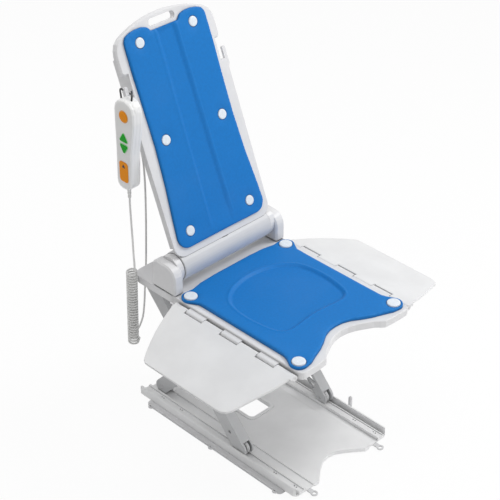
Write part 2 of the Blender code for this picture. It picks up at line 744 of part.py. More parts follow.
def build_seat_rollers(joint, looks):
    """Build the rollers that run in the seat's tracks."""
    wheel_reach = (SEAT_ROLLER_MIDDLE - ROLLER_WIDTH / 2, SEAT_ROLLER_MIDDLE + ROLLER_WIDTH / 2)
    axle_reach = (wheel_reach[0] - RUN_GAP, INNER_ARM_OUTER - 0.001)
    for side, label in ((-1, "left"), (1, "right")):
        centre = frame("seat_roller_joint_" + label, joint, (0.0, -ARM_LENGTH, 0.0))
        wheel = roller(SEAT_ROLLER_RADIUS, SEAT_PIN_RADIUS, wheel_reach, axle_reach, side)
        add_object("seat_roller_" + label, wheel, looks["nylon"], centre)


def inset(outline, distance):
    """Return an outline moved inward by a distance; its points run anticlockwise."""
    moved = []
    count = len(outline)
    for index in range(count):
        here = Vector(outline[index])
        before = (here - Vector(outline[index - 1])).normalized()
        after = (Vector(outline[(index + 1) % count]) - here).normalized()
        normal = (Vector((-before.y, before.x)) + Vector((-after.y, after.x))).normalized()
        reach = distance / max(0.5, normal.dot(Vector((-after.y, after.x))))
        moved.append(tuple(here + normal * reach))
    return moved


def both_sides(right):
    """Return an anticlockwise outline from its right half, which runs from front to rear."""
    start = 1 if abs(right[0][0]) < 1e-6 else 0
    stop = -1 if abs(right[-1][0]) < 1e-6 else len(right)
    return right + mirrored(right[start:stop])[::-1]


def seat_outline():
    """Return the seat's outline: two ears, a hollow front edge and the shelf behind."""
    nose = [(0.0, SEAT_NOSE_MIDDLE), (0.021, -0.2625), (0.041, -0.2689), (0.061, -0.279),
            (0.082, -0.2905), (0.094, -0.302), (0.1032, -0.3090)]
    ear = circle((SEAT_HALF_WIDTH - 0.014, SEAT_EAR_FRONT + 0.014), 0.014, 4, -math.pi / 2,
                 math.pi / 2)
    shelf = [(SEAT_HALF_WIDTH, 0.118), (SEAT_HALF_WIDTH + 0.004, 0.126)]
    corner = circle((SEAT_HALF_WIDTH + 0.004 - SHELF_CORNER, SHELF_REAR - SHELF_CORNER),
                    SHELF_CORNER, 6, 0.0, math.pi / 2)
    return both_sides(nose + [(0.128, -0.3112)] + ear + shelf + corner)


def finger_span(index):
    """Return a hinge finger's front and rear ends along the seat's side."""
    rear = FINGER_START - FINGER_PITCH * index
    return rear - FINGER_PITCH + FINGER_GAP / 2, rear - FINGER_GAP / 2


def seat_fingers(side):
    """Return the seat's hinge fingers at one side."""
    shape = bmesh.new()
    top = KNUCKLE_RADIUS
    profile = [(-0.012, -top), (0.0, -top)]
    profile += circle((0.0, 0.0), top, 8, -math.pi / 2, math.pi)[1:-1]
    profile += [(0.0, top), (-0.012, top)]
    outline = [(side * (FLAP_HINGE_X + x), FLAP_HINGE_Z + z) for x, z in profile]
    for index in range(1, FINGER_COUNT, 2):
        low, high = finger_span(index)
        add_prism(shape, outline, low, high, "Y")
    return close_shape(shape, "fingers")


def seat_plate(joint, looks):
    """Build the seat: a thin plate with a skirt, hinge fingers and the drive's slot."""
    outline = seat_outline()
    body = prism([outline], SEAT_SKIRT_LOW, SEAT_TOP, "Z")
    piece = add_object("seat_plate", body, looks["seat"], joint)
    soften(piece, 0.0015)
    cut(piece, prism([inset(outline, SEAT_WALL)], SEAT_SKIRT_LOW - 0.01, SEAT_UNDERSIDE, "Z"))
    for side in (-1, 1):
        join(piece, seat_fingers(side))
        join(piece, seat_lug(side))
        axis_x = side * FLAP_HINGE_X
        cut(piece, rod((axis_x, -0.33, FLAP_HINGE_Z), (axis_x, 0.15, FLAP_HINGE_Z),
                       FLAP_PIN_RADIUS + SEAT_GAP, 12))
    bore = OUTER_ARM_WEB
    cut(piece, rod((-bore, REAR_PIVOT_Y, SEAT_FRAME_PIVOT), (bore, REAR_PIVOT_Y, SEAT_FRAME_PIVOT),
                   SEAT_PIN_RADIUS + SEAT_GAP, 12))
    slot = rounded([(-SLOT_HALF_WIDTH, SLOT_FRONT, 0.006), (SLOT_HALF_WIDTH, SLOT_FRONT, 0.006),
                    (SLOT_HALF_WIDTH, SLOT_REAR, 0.006), (-SLOT_HALF_WIDTH, SLOT_REAR, 0.006)])
    cut(piece, prism([slot], SEAT_UNDERSIDE - 0.01, SEAT_TOP + 0.01, "Z"))
    recess = rounded([(-0.058, SLOT_REAR + 0.004, 0.008), (0.058, SLOT_REAR + 0.004, 0.008),
                      (0.067, SLOT_REAR + 0.036, 0.010), (-0.067, SLOT_REAR + 0.036, 0.010)])
    cut(piece, prism([recess], SEAT_TOP - 0.002, SEAT_TOP + 0.01, "Z"))
    return piece


def seat_pad_outline():
    """Return the seat pad's outline, with an ear round each button."""
    front = [(0.0, -0.242), (0.020, -0.2434), (0.0425, -0.251), (0.065, -0.2656),
             (0.088, -0.2776), (0.115, -0.288), (0.140, -0.2985)]
    front_ear = circle((SEAT_BUTTON_X, SEAT_BUTTON_FRONT_Y), 0.0225, 8, -1.75, 2.35)
    side = [(SEAT_PAD_HALF_WIDTH + 0.004, -0.250), (SEAT_PAD_HALF_WIDTH, -0.235),
            (SEAT_PAD_HALF_WIDTH, 0.045)]
    rear_ear = circle((SEAT_BUTTON_X, SEAT_BUTTON_REAR_Y), 0.0225, 8, -0.75, 2.2)
    rear = [(0.140, 0.0995), (0.110, 0.1065), (0.060, SEAT_PAD_REAR), (0.0, SEAT_PAD_REAR)]
    return both_sides(front + front_ear + side + rear_ear + rear)


def seat_button_places():
    """Return where the seat pad's buttons stand."""
    return [(side * SEAT_BUTTON_X, y) for side in (-1, 1)
            for y in (SEAT_BUTTON_REAR_Y, SEAT_BUTTON_FRONT_Y)]


def seat_pad(joint, looks):
    """Build the thin seat pad with its sunk sitting area and its button holes."""
    low = SEAT_TOP + SEAT_GAP
    high = SEAT_TOP + PAD_THICKNESS
    piece = add_object("seat_pad", prism([seat_pad_outline()], low, high, "Z"), looks["pad"], joint)
    soften(piece, 0.0022, 60)
    area = both_sides([(0.0, -0.175), (0.035, -0.178), (0.067, -0.1825), (0.097, -0.1825),
                       (0.1165, -0.165), (0.1275, -0.1128), (0.1295, -0.066), (0.1225, -0.020),
                       (0.110, 0.003), (0.083, 0.0265), (0.045, 0.0415), (0.0, 0.047)])
    cut(piece, prism([area], high - 0.0012, high + 0.01, "Z"))
    for x, y in seat_button_places():
        cut(piece, rod((x, y, low - 0.01), (x, y, high + 0.01), SEAT_BUTTON_RADIUS + SEAT_GAP, SMALL_SIDES))
    return piece


def button_profile(radius, foot, top):
    """Return the turned profile of a flat button with a rounded rim."""
    return [(0.0, foot), (radius, foot), (radius, top - 0.0022), (radius - 0.0014, top - 0.0006),
            (radius - 0.004, top), (0.0, top)]


def seat_buttons(joint, looks):
    """Build the four round buttons that hold the seat pad."""
    top = SEAT_TOP + PAD_THICKNESS + BUTTON_RISE
    labels = ("left_rear", "left_front", "right_rear", "right_front")
    for label, (x, y) in zip(labels, seat_button_places()):
        shape = bmesh.new()
        profile = button_profile(SEAT_BUTTON_RADIUS, SEAT_TOP + SEAT_GAP, top)
        spin_profile(shape, profile, (x, y, 0.0), SMALL_SIDES)
        add_object("seat_button_" + label, close_shape(shape, "button"), looks["button"], joint)


def hinge_cheek(side):
    """Build one cheek beside the hinge barrel: a round-shouldered block."""
    outline = rounded([(CHEEK_FRONT, SEAT_TOP + SEAT_GAP, 0), (CHEEK_REAR, SEAT_TOP + SEAT_GAP, 0),
                       (CHEEK_REAR, CHEEK_TOP, 0.016), (CHEEK_FRONT, CHEEK_TOP, CHEEK_ROUND)], 6)
    reach = sorted((side * CHEEK_INNER, side * CHEEK_OUTER))
    return prism([outline], reach[0], reach[1], "X")


def hinge_cheeks(joint, looks):
    """Build both cheeks with the round bosses that face the barrel."""
    for side, cheek in zip((-1, 1), pair("hinge_cheek", hinge_cheek, looks["seat"], joint)):
        soften(cheek, 0.004, 60)
        boss = rod((side * CHEEK_BOSS_INNER, HINGE_Y, HINGE_Z),
                   (side * (CHEEK_INNER + 0.006), HINGE_Y, HINGE_Z), CHEEK_BOSS_RADIUS)
        join(cheek, boss)
        bore = rod((side * 0.140, HINGE_Y, HINGE_Z), (side * (CHEEK_OUTER - 0.006), HINGE_Y, HINGE_Z),
                   HINGE_PIN_RADIUS + SEAT_GAP, SMALL_SIDES)
        cut(cheek, bore)
    pair("backrest_hinge_pin", hinge_pin, looks["steel"], joint)


def hinge_pin(side):
    """Build one pin that carries the barrel's end in its cheek."""
    return rod((side * (BARREL_HALF - 0.022), HINGE_Y, HINGE_Z),
               (side * (CHEEK_OUTER - 0.0065), HINGE_Y, HINGE_Z), HINGE_PIN_RADIUS, SMALL_SIDES)


def seat_track(side):
    """Build one C-shaped track under the seat, open towards the inner arm."""
    reach = SEAT_ROLLER_RADIUS + SEAT_GAP
    low = SEAT_FRAME_PIVOT - reach
    high = SEAT_FRAME_PIVOT + reach
    inner = TRACK_WEB_INNER + TRACK_WEB
    profile = [(TRACK_WEB_INNER, low - TRACK_WEB), (TRACK_OUTER, low - TRACK_WEB), (TRACK_OUTER, low),
               (inner, low), (inner, high), (TRACK_OUTER, high),
               (TRACK_OUTER, SEAT_UNDERSIDE - SEAT_GAP), (TRACK_WEB_INNER, SEAT_UNDERSIDE - SEAT_GAP)]
    outline = [(side * x, z) for x, z in profile]
    front = LOWEST_SLIDER_Y - SEAT_ROLLER_RADIUS - 0.010
    rear = SLIDER_Y + SEAT_ROLLER_RADIUS + 0.010
    return prism([outline], front, rear, "Y")


def seat_lug(side):
    """Return the lug under the seat that the outer arm's upper end turns on."""
    outline = [(REAR_PIVOT_Y + LUG_RADIUS, SEAT_UNDERSIDE + 0.001),
               (REAR_PIVOT_Y - LUG_RADIUS, SEAT_UNDERSIDE + 0.001)]
    outline += circle((REAR_PIVOT_Y, SEAT_FRAME_PIVOT), LUG_RADIUS, 10, math.pi, math.pi)
    inner = OUTER_ARM_INNER + INNER_WEB + RUN_GAP
    outer = OUTER_ARM_WEB - RUN_GAP
    reach = sorted((side * inner, side * outer))
    return prism([outline], reach[0], reach[1], "X")


def seat_pivot_pin(side):
    """Build the pin through a lug and its arm."""
    return rod((side * (OUTER_ARM_INNER + 0.0005), REAR_PIVOT_Y, SEAT_FRAME_PIVOT),
               (side * (OUTER_ARM_OUTER - 0.0005), REAR_PIVOT_Y, SEAT_FRAME_PIVOT),
               SEAT_PIN_RADIUS, 12)


def flap_pin(side):
    """Build one long hinge pin for a side flap."""
    front = finger_span(FINGER_COUNT - 1)[0]
    rear = finger_span(0)[1]
    x = side * FLAP_HINGE_X
    return rod((x, front, FLAP_HINGE_Z), (x, rear, FLAP_HINGE_Z), FLAP_PIN_RADIUS, 12)


def build_seat(joint, looks):
    """Build the seat and what is fixed to it."""
    seat_plate(joint, looks)
    seat_pad(joint, looks)
    seat_buttons(joint, looks)
    hinge_cheeks(joint, looks)
    pair("seat_track", seat_track, looks["arm"], joint)
    pair("seat_pivot_pin", seat_pivot_pin, looks["steel"], joint)
    pair("flap_hinge_pin", flap_pin, looks["steel"], joint)


def flap_outline(side):
    """Return a flap's outline in its hinge's frame, outward from the pin along X."""
    root = KNUCKLE_RADIUS + 0.002
    rear = arc_through((root, 0.0985), (0.100, 0.066), (0.166, 0.0290), 6)
    corner = arc_through((0.166, 0.0290), (0.1750, 0.0195), (FLAP_WIDTH, 0.008), 3)[1:]
    front = arc_through((FLAP_WIDTH, -0.2248), (0.170, -0.2465), (0.147, -0.2589), 4)
    outline = rear + corner + front + [(0.060, -0.2855), (root, -0.297)]
    return [(side * x, y) for x, y in outline]


def side_flap(side):
    """Build one side flap's leaf."""
    high = KNUCKLE_RADIUS
    return prism([flap_outline(side)], high - FLAP_THICKNESS, high, "Z")


def flap_fingers(side):
    """Return a flap's hinge fingers."""
    shape = bmesh.new()
    top = KNUCKLE_RADIUS
    low = top - FLAP_THICKNESS
    start = math.asin(low / top)
    profile = circle((0.0, 0.0), top, 10, math.pi / 2, 1.5 * math.pi + start)
    profile += [(top + 0.006, low), (top + 0.006, top)]
    outline = [(side * x, z) for x, z in profile]
    for index in range(0, FINGER_COUNT, 2):
        front, rear = finger_span(index)
        rear = min(rear, 0.0985)
        add_prism(shape, outline, front, rear, "Y")
    return close_shape(shape, "fingers")


def build_flap(label, side, joint, looks):
    """Build one side flap on its hinge."""
    flap = add_object("side_flap_" + label, side_flap(side), looks["flap"], joint)
    soften(flap, 0.0012, 60)
    join(flap, flap_fingers(side))
    cut(flap, rod((0.0, -0.33, 0.0), (0.0, 0.15, 0.0), FLAP_PIN_RADIUS + SEAT_GAP, 12))


def rim_outline():
    """Return the backrest front plate's outline, with the hooks at its upper sides."""
    low = circle((RIM_HALF_WIDTH - RIM_CORNER, RIM_BOTTOM + RIM_CORNER), RIM_CORNER, 6,
                 -math.pi / 2, math.pi / 2)
    hook = [(RIM_HALF_WIDTH, HOOK_ROOT - 0.006), (HOOK_OUTER, HOOK_ROOT),
            (HOOK_OUTER, HOOK_TOP - 0.003), (HOOK_OUTER - 0.003, HOOK_TOP),
            (HOOK_INNER + 0.003, HOOK_TOP), (HOOK_INNER, HOOK_TOP - 0.003),
            (HOOK_INNER, HOOK_SLOT_BOTTOM), (HOOK_INNER - HOOK_DEPTH, HOOK_SLOT_BOTTOM),
            (HOOK_INNER - HOOK_DEPTH - 0.002, HEAD_BOTTOM + 0.004)]
    right = low + hook
    return right + mirrored(right)[::-1]


def tray_block(grow, low, high):
    """Return the block behind the front plate, or the pocket inside it."""
    half = TRAY_HALF_WIDTH - grow
    return box((-half, RIM_FRONT + RIM_THICKNESS - 0.001, low), (half, high, HEAD_BOTTOM + 0.004))


def tray_ribs():
    """Return the channel's walls and the cross ribs inside the tray."""
    shape = bmesh.new()
    front = RIM_FRONT + RIM_THICKNESS - 0.001
    for side in (-1, 1):
        across = sorted((side * 0.0345, side * 0.0375))
        add_box(shape, (across[0], front, TRAY_BOTTOM + 0.001), (across[1], TRAY_REAR, HEAD_BOTTOM + 0.002))
    return close_shape(shape, "walls")


def tray_cross_ribs():
    """Return the low cross ribs of the tray."""
    shape = bmesh.new()
    front = RIM_FRONT + RIM_THICKNESS - 0.001
    for height in (0.161, 0.287, 0.421):
        add_box(shape, (-TRAY_HALF_WIDTH + 0.001, front, height - 0.0015),
                (TRAY_HALF_WIDTH - 0.001, front + 0.009, height + 0.0015))
    return close_shape(shape, "ribs")


def cell_cutters():
    """Return the square openings in two rows beside the lower bracket."""
    shape = bmesh.new()
    for side in (-1, 1):
        for index in range(5):
            middle = side * (0.0475 + 0.0165 * index)
            for height in (0.052, 0.0665):
                add_box(shape, (middle - 0.0058, RIM_FRONT + 0.0025, height - 0.0055),
                        (middle + 0.0058, 0.0, height + 0.0055))
    return close_shape(shape, "cells")


def head_block():
    """Return the thick head at the top of the backrest."""
    side = HEAD_BOTTOM + HEAD_EDGE
    high = side + HEAD_SHOULDER
    crown = arc_through((0.134, high), (0.0, HEAD_TOP), (-0.134, high), 12)
    shoulder = [(0.156, side), (0.1535, side + 0.355 * HEAD_SHOULDER),
                (0.1465, side + 0.724 * HEAD_SHOULDER)]
    low = circle((0.156 - 0.010, HEAD_BOTTOM + 0.010), 0.010, 3, -math.pi / 2, math.pi / 2)
    outline = low + shoulder + crown + mirrored(shoulder)[::-1] + mirrored(low)[::-1]
    return prism([outline], RIM_FRONT, RIM_FRONT + HEAD_DEPTH, "Y")


def head_box():
    """Return the box behind the head, whose top slopes forward."""
    front = RIM_FRONT + RIM_THICKNESS - 0.001
    side = [(front, HEAD_BOTTOM), (TRAY_REAR, HEAD_BOTTOM), (TRAY_REAR, HEAD_BOX_SHOULDER),
            (RIM_FRONT + HEAD_DEPTH, HEAD_BOX_TOP), (front, HEAD_BOX_TOP)]
    return prism([side], -TRAY_HALF_WIDTH, TRAY_HALF_WIDTH, "X")


def build_shell(joint, looks):
    """Build the backrest shell: front plate, tray, ribs, head, hooks and carrying slot."""
    plate = prism([rim_outline()], RIM_FRONT, RIM_FRONT + RIM_THICKNESS, "Y")
    shell = add_object("backrest_shell", plate, looks["shell"], joint)
    join(shell, tray_block(0.0, TRAY_BOTTOM, TRAY_REAR))
    cut(shell, tray_block(TRAY_WALL, TRAY_BOTTOM + TRAY_WALL, TRAY_REAR + 0.01))
    join(shell, tray_ribs())
    join(shell, tray_cross_ribs())
    head = add_object("head_tool", head_block(), looks["shell"], joint)
    soften(head, 0.004, 50)
    head.hide_render = True
    head.display_type = "WIRE"
    step = shell.modifiers.new("head", "BOOLEAN")
    step.operation = "UNION"
    step.object = head
    join(shell, head_box())
    half = HANDLE_HALF_WIDTH
    handle = rounded([(-half, HANDLE_LOW, 0.008), (half, HANDLE_LOW, 0.008),
                      (half, HANDLE_HIGH, 0.008), (-half, HANDLE_HIGH, 0.008)])
    cut(shell, prism([handle], -0.1, 0.1, "Y"))
    cut(shell, rod((-CHEEK_BOSS_INNER + 0.0005, 0.0, 0.0), (CHEEK_BOSS_INNER - 0.0005, 0.0, 0.0),
                   BARREL_RADIUS + SEAT_GAP, BARREL_SIDES))
    cut(shell, cell_cutters())
    join(shell, back_buttons())
    return shell


def build_barrel(joint, looks):
    """Build the hinge barrel under the shell, with its bores and its middle notch."""
    bar = rod((-BARREL_HALF, 0.0, 0.0), (BARREL_HALF, 0.0, 0.0), BARREL_RADIUS, BARREL_SIDES)
    barrel = add_object("hinge_barrel", bar, looks["seat"], joint)
    soften(barrel, 0.0015)
    cut(barrel, rod((-0.2, 0.0, 0.0), (0.2, 0.0, 0.0), HINGE_PIN_RADIUS + SEAT_GAP, SMALL_SIDES))
    cut(barrel, box((-0.009, -0.060, 0.020), (0.009, 0.060, 0.060)))


def back_pad_outline():
    """Return the backrest pad's outline: waisted, with two ears beside a notch at the top."""
    low = circle((BACK_PAD_HALF_LOW - 0.030, BACK_PAD_BOTTOM + 0.030), 0.030, 6, -math.pi / 2,
                 math.pi / 2)
    side = [(0.1385, 0.120), (0.131, 0.200), (BACK_PAD_HALF_MIDDLE, 0.300), (0.127, 0.400),
            (0.1285, 0.480), (0.1275, 0.545)]
    ear = [(0.1262, 0.5565), (0.1195, 0.5660), (0.105, 0.5718), (0.087, 0.5748), (0.067, 0.5745),
           (0.052, 0.5700), (0.0465, 0.5640)]
    right = low + side + ear + [(0.043, 0.5585)]
    return right + mirrored(right)[::-1]


def back_button_places():
    """Return where the backrest pad's buttons stand, across and up."""
    rows = ((0.0996, 0.0764), (0.0915, 0.3048), (0.0838, 0.5419))
    return [(side * half, height) for half, height in rows for side in (-1, 1)]


def build_back_pad(joint, looks):
    """Build the backrest pad with its two long creases and button holes, and the buttons."""
    rear = RIM_FRONT - SEAT_GAP
    front = RIM_FRONT - BACK_PAD_THICKNESS
    pad = add_object("backrest_pad", prism([back_pad_outline()], front, rear, "Y"), looks["pad"], joint)
    soften(pad, 0.0022, 60)
    shape = bmesh.new()
    for side in (-1, 1):
        foot = side * 0.036
        head = side * 0.030
        add_crease(shape, (foot, 0.06), (head, 0.555), front, 0.005, 0.0012)
    cut(pad, close_shape(shape, "creases"))
    for x, z in back_button_places():
        cut(pad, rod((x, front - 0.01, z), (x, rear + 0.01, z), BACK_BUTTON_RADIUS + SEAT_GAP, 16))


def back_buttons():
    """Return the six buttons that come through the backrest pad."""
    shape = bmesh.new()
    top = BACK_PAD_THICKNESS + BUTTON_RISE - 0.001
    for x, z in back_button_places():
        start = len(shape.verts)
        spin_profile(shape, button_profile(BACK_BUTTON_RADIUS, -0.001, top), (0.0, 0.0, 0.0), 14)
        made = list(shape.verts)[start:]
        bmesh.ops.rotate(shape, verts=made, matrix=Matrix.Rotation(math.pi / 2, 3, "X"))
        bmesh.ops.translate(shape, verts=made, vec=(x, RIM_FRONT, z))
    return close_shape(shape, "buttons")


def add_crease(shape, foot, head, front, half_width, depth):
    """Add a long shallow wedge that presses a crease into a pad's front face."""
    ends = []
    for x, z in (foot, head):
        ends.append([shape.verts.new((x - half_width, front - 0.002, z)),
                     shape.verts.new((x + half_width, front - 0.002, z)),
                     shape.verts.new((x, front + depth, z))])
    shape.faces.new(ends[0])
    shape.faces.new(ends[1][::-1])
    for index in range(3):
        after = (index + 1) % 3
        shape.faces.new((ends[0][index], ends[0][after], ends[1][after], ends[1][index]))


def tube_mesh(low, high):
    """Return the drive tube, open at both ends."""
    shape = bmesh.new()
    rings = []
    for radius, height in ((TUBE_RADIUS, low), (TUBE_RADIUS, high), (TUBE_RADIUS - TUBE_WALL, high),
                           (TUBE_RADIUS - TUBE_WALL, low)):
        ring = circle((0.0, TUBE_BACK), radius)
        rings.append([shape.verts.new((x, y, height)) for x, y in ring])
    for index in range(4):
        ring = rings[index]
        other = rings[(index + 1) % 4]
        for step in range(SIDES):
            after = (step + 1) % SIDES
            shape.faces.new((ring[step], ring[after], other[after], other[step]))
    return close_shape(shape, "tube")


def build_drive(joint, looks):
    """Build the drive on the back: box, cover, motor, tube, rod and lower bracket."""
    low = BOX_LOW
    high = HEAD_BOTTOM - SEAT_GAP
    foot = TRAY_REAR + SEAT_GAP
    case = box((-BOX_HALF_WIDTH, foot, low), (BOX_HALF_WIDTH, BOX_REAR, high))
    case = add_object("drive_box", case, looks["shell"], joint)
    soften(case, 0.003, 60)
    inner = BOX_HALF_WIDTH - BOX_WALL
    cut(case, box((-inner, foot - 0.01, low + BOX_WALL), (inner, BOX_REAR - BOX_WALL, high - BOX_WALL)))
    middle = (low + high) / 2
    sunk = BOX_REAR - 0.0015
    cut(case, box((-COVER_HALF_WIDTH, sunk, middle - COVER_HALF_HEIGHT),
                  (COVER_HALF_WIDTH, BOX_REAR + 0.01, middle + COVER_HALF_HEIGHT)))
    edge = SEAT_GAP
    cover = box((-COVER_HALF_WIDTH + edge, sunk + edge, middle - COVER_HALF_HEIGHT + edge),
                (COVER_HALF_WIDTH - edge, BOX_REAR + 0.0005, middle + COVER_HALF_HEIGHT - edge))
    add_object("drive_box_cover", cover, looks["grey"], joint)
    depth = BOX_REAR - BOX_WALL - foot
    motor = rod((-0.032, foot + depth / 2, middle), (0.032, foot + depth / 2, middle),
                depth / 2 - SEAT_GAP, SIDES)
    add_object("drive_motor", motor, looks["steel"], joint)
    add_object("drive_tube", tube_mesh(BRACKET_HIGH - 0.010, low - SEAT_GAP), looks["tube"], joint)
    add_object("drive_rod", drive_rod(), looks["tube"], joint)
    build_bracket(joint, looks)


def drive_rod():
    """Return the drive's rod, with the guide that slides inside the tube."""
    end = BRACKET_HIGH + 0.030
    guide = TUBE_RADIUS - TUBE_WALL - SEAT_GAP
    profile = [(0.0, -ROD_REACH), (ROD_RADIUS - 0.002, -ROD_REACH), (ROD_RADIUS, -ROD_REACH + 0.002),
               (ROD_RADIUS, end - ROD_GUIDE), (guide, end - ROD_GUIDE), (guide, end), (0.0, end)]
    shape = bmesh.new()
    spin_profile(shape, profile, (0.0, TUBE_BACK, 0.0), SMALL_SIDES)
    return close_shape(shape, "rod")


def build_bracket(joint, looks):
    """Build the lower bracket that holds the tube to the tray."""
    low = TRAY_BOTTOM + 0.002
    foot = TRAY_REAR + SEAT_GAP
    outline = rounded([(-BRACKET_HALF_WIDTH, low, 0.018), (BRACKET_HALF_WIDTH, low, 0.018),
                       (BRACKET_HALF_WIDTH - 0.006, BRACKET_HIGH, 0.018),
                       (-BRACKET_HALF_WIDTH + 0.006, BRACKET_HIGH, 0.018)])
    plate = prism([outline], foot, foot + 0.007, "Y")
    bracket = add_object("lower_bracket", plate, looks["shell"], joint)
    collar = TUBE_RADIUS + 0.006
    join(bracket, box((-collar, foot + 0.005, low + 0.002), (collar, TUBE_BACK, BRACKET_HIGH - 0.004)))
    join(bracket, rod((0.0, TUBE_BACK, low + 0.0025), (0.0, TUBE_BACK, BRACKET_HIGH - 0.0045), collar))
    cut(bracket, rod((0.0, TUBE_BACK, low - 0.01), (0.0, TUBE_BACK, BRACKET_HIGH + 0.01),
                     TUBE_RADIUS + SEAT_GAP))


def build_backrest(joint, looks):
    """Build the backrest and the drive on its back."""
    build_shell(joint, looks)
    build_barrel(joint, looks)
    build_back_pad(joint, looks)
    build_drive(joint, looks)


def handset_outline(shrink=0.0):
    """Return the handset's outline in Y and Z: wide at the top, narrow at the bottom."""
    top = HANDSET_HALF_TOP
    low = HANDSET_HALF_BOTTOM
    lean = HANDSET_LEAN / 2
    outline = rounded([
        (HANDSET_Y + lean - low, HANDSET_BOTTOM, 0.020), (HANDSET_Y + lean + low, HANDSET_BOTTOM, 0.020),
        (HANDSET_Y + lean * 0.2 + low + 0.0015, HANDSET_BOTTOM + 0.105, 0.080),
        (HANDSET_Y - lean + top, HANDSET_TOP - 0.055, 0.060),
        (HANDSET_Y - lean + top - 0.001, HANDSET_TOP, 0.028),
        (HANDSET_Y - lean - top + 0.001, HANDSET_TOP, 0.028),
        (HANDSET_Y - lean - top, HANDSET_TOP - 0.055, 0.060),
        (HANDSET_Y + lean * 0.2 - low - 0.0015, HANDSET_BOTTOM + 0.105, 0.080)], 3)
    return inset(outline, shrink) if shrink else outline


def arrow_outline(middle_z, upward, shrink=0.0):
    """Return a rounded triangle in Y and Z that points up or down."""
    half = ARROW_WIDTH / 2
    rise = ARROW_HEIGHT / 2
    middle_y = HANDSET_Y - 0.0045
    corners = [(middle_y - half, middle_z - rise, 0.003), (middle_y + half, middle_z - rise, 0.003),
               (middle_y, middle_z + rise, 0.003)]
    if not upward:
        corners = [(middle_y + half, middle_z + rise, 0.003), (middle_y - half, middle_z + rise, 0.003),
                   (middle_y, middle_z - rise, 0.003)]
    return inset(rounded(corners, 3), shrink)


def build_handset(joint, looks):
    """Build the handset: two shells, board, three sprung buttons, panel and strain relief."""
    split = HANDSET_X
    outline = handset_outline()
    hollow = handset_outline(HANDSET_SHELL)
    front = add_object("handset_front", prism([outline], HANDSET_FRONT, split, "X"),
                       looks["handset"], joint)
    soften(front, 0.006, 60, 2)
    cut(front, prism([hollow], HANDSET_FRONT + HANDSET_SHELL, split + 0.01, "X"))
    back = add_object("handset_back", prism([outline], split + SEAT_GAP, HANDSET_BACK, "X"),
                      looks["handset"], joint)
    soften(back, 0.006, 60, 2)
    cut(back, prism([hollow], split - 0.01, HANDSET_BACK - HANDSET_SHELL, "X"))
    round_y = HANDSET_Y - 0.0076
    outside = HANDSET_FRONT - HANDSET_BUTTON_RISE
    inside = HANDSET_FRONT + HANDSET_SHELL + 0.003
    reach = (HANDSET_FRONT - 0.01, HANDSET_FRONT + 0.01)
    cut(front, rod((reach[0], round_y, ROUND_BUTTON_Z), (reach[1], round_y, ROUND_BUTTON_Z),
                   ROUND_BUTTON_RADIUS + SEAT_GAP))
    key = rod((outside, round_y, ROUND_BUTTON_Z), (inside, round_y, ROUND_BUTTON_Z), ROUND_BUTTON_RADIUS)
    key = add_object("round_button", key, looks["orange"], joint)
    soften(key, 0.001)
    for name, middle_z, upward in (("up_button", UP_BUTTON_Z, True), ("down_button", DOWN_BUTTON_Z, False)):
        cut(front, prism([arrow_outline(middle_z, upward)], reach[0], reach[1], "X"))
        key = prism([arrow_outline(middle_z, upward, SEAT_GAP)], outside, inside, "X")
        key = add_object(name, key, looks["green"], joint)
        soften(key, 0.0008, 60)
    board = prism([handset_outline(HANDSET_SHELL + SEAT_GAP)], split - 0.004, split - 0.0024, "X")
    add_object("handset_board", board, looks["board"], joint)
    panel = rounded([(HANDSET_Y - PANEL_HALF_WIDTH, PANEL_LOW, 0.008),
                     (HANDSET_Y + PANEL_HALF_WIDTH, PANEL_LOW, 0.008),
                     (HANDSET_Y + PANEL_HALF_WIDTH, PANEL_HIGH, 0.008),
                     (HANDSET_Y - PANEL_HALF_WIDTH, PANEL_HIGH, 0.008)])
    add_object("handset_panel", prism([panel], HANDSET_FRONT - 0.0011, HANDSET_FRONT - SEAT_GAP, "X"),
               looks["orange"], joint)
    build_relief(joint, looks)
    build_loop(joint, looks)


def build_relief(joint, looks):
    """Build the ribbed strain relief under the handset."""
    shape = bmesh.new()
    foot = HANDSET_BOTTOM - SEAT_GAP - RELIEF_LENGTH
    profile = [(0.0, foot), (CORD_RADIUS + 0.0010, foot)]
    ribs = 3
    for index in range(ribs):
        low = foot + RELIEF_LENGTH * index / ribs
        step = RELIEF_LENGTH / ribs
        wide = CORD_RADIUS + 0.0012 + (RELIEF_RADIUS - CORD_RADIUS - 0.0012) * (index + 1) / ribs
        profile += [(wide, low + step * 0.15), (wide, low + step * 0.65),
                    (wide - 0.0008, low + step * 0.75), (wide - 0.0008, low + step)]
    profile += [(0.0, HANDSET_BOTTOM - SEAT_GAP)]
    spin_profile(shape, profile, (HANDSET_X, RELIEF_Y, 0.0), 10)
    add_object("strain_relief", close_shape(shape, "relief"), looks["cord"], joint)


def curve_tube(name, points, radius, resolution, surface, parent, cyclic=False):
    """Build a round tube along a line of points."""
    data = bpy.data.curves.new(name, "CURVE")
    data.dimensions = "3D"
    data.bevel_depth = radius
    data.bevel_resolution = resolution
    data.use_fill_caps = True
    data.materials.append(surface)
    line = data.splines.new("POLY")
    line.points.add(len(points) - 1)
    for point, place_at in zip(line.points, points):
        point.co = (*place_at, 1.0)
    line.use_cyclic_u = cyclic
    line.use_smooth = True
    tube = bpy.data.objects.new(name, data)
    bpy.context.scene.collection.objects.link(tube)
    tube.parent = parent
    return tube


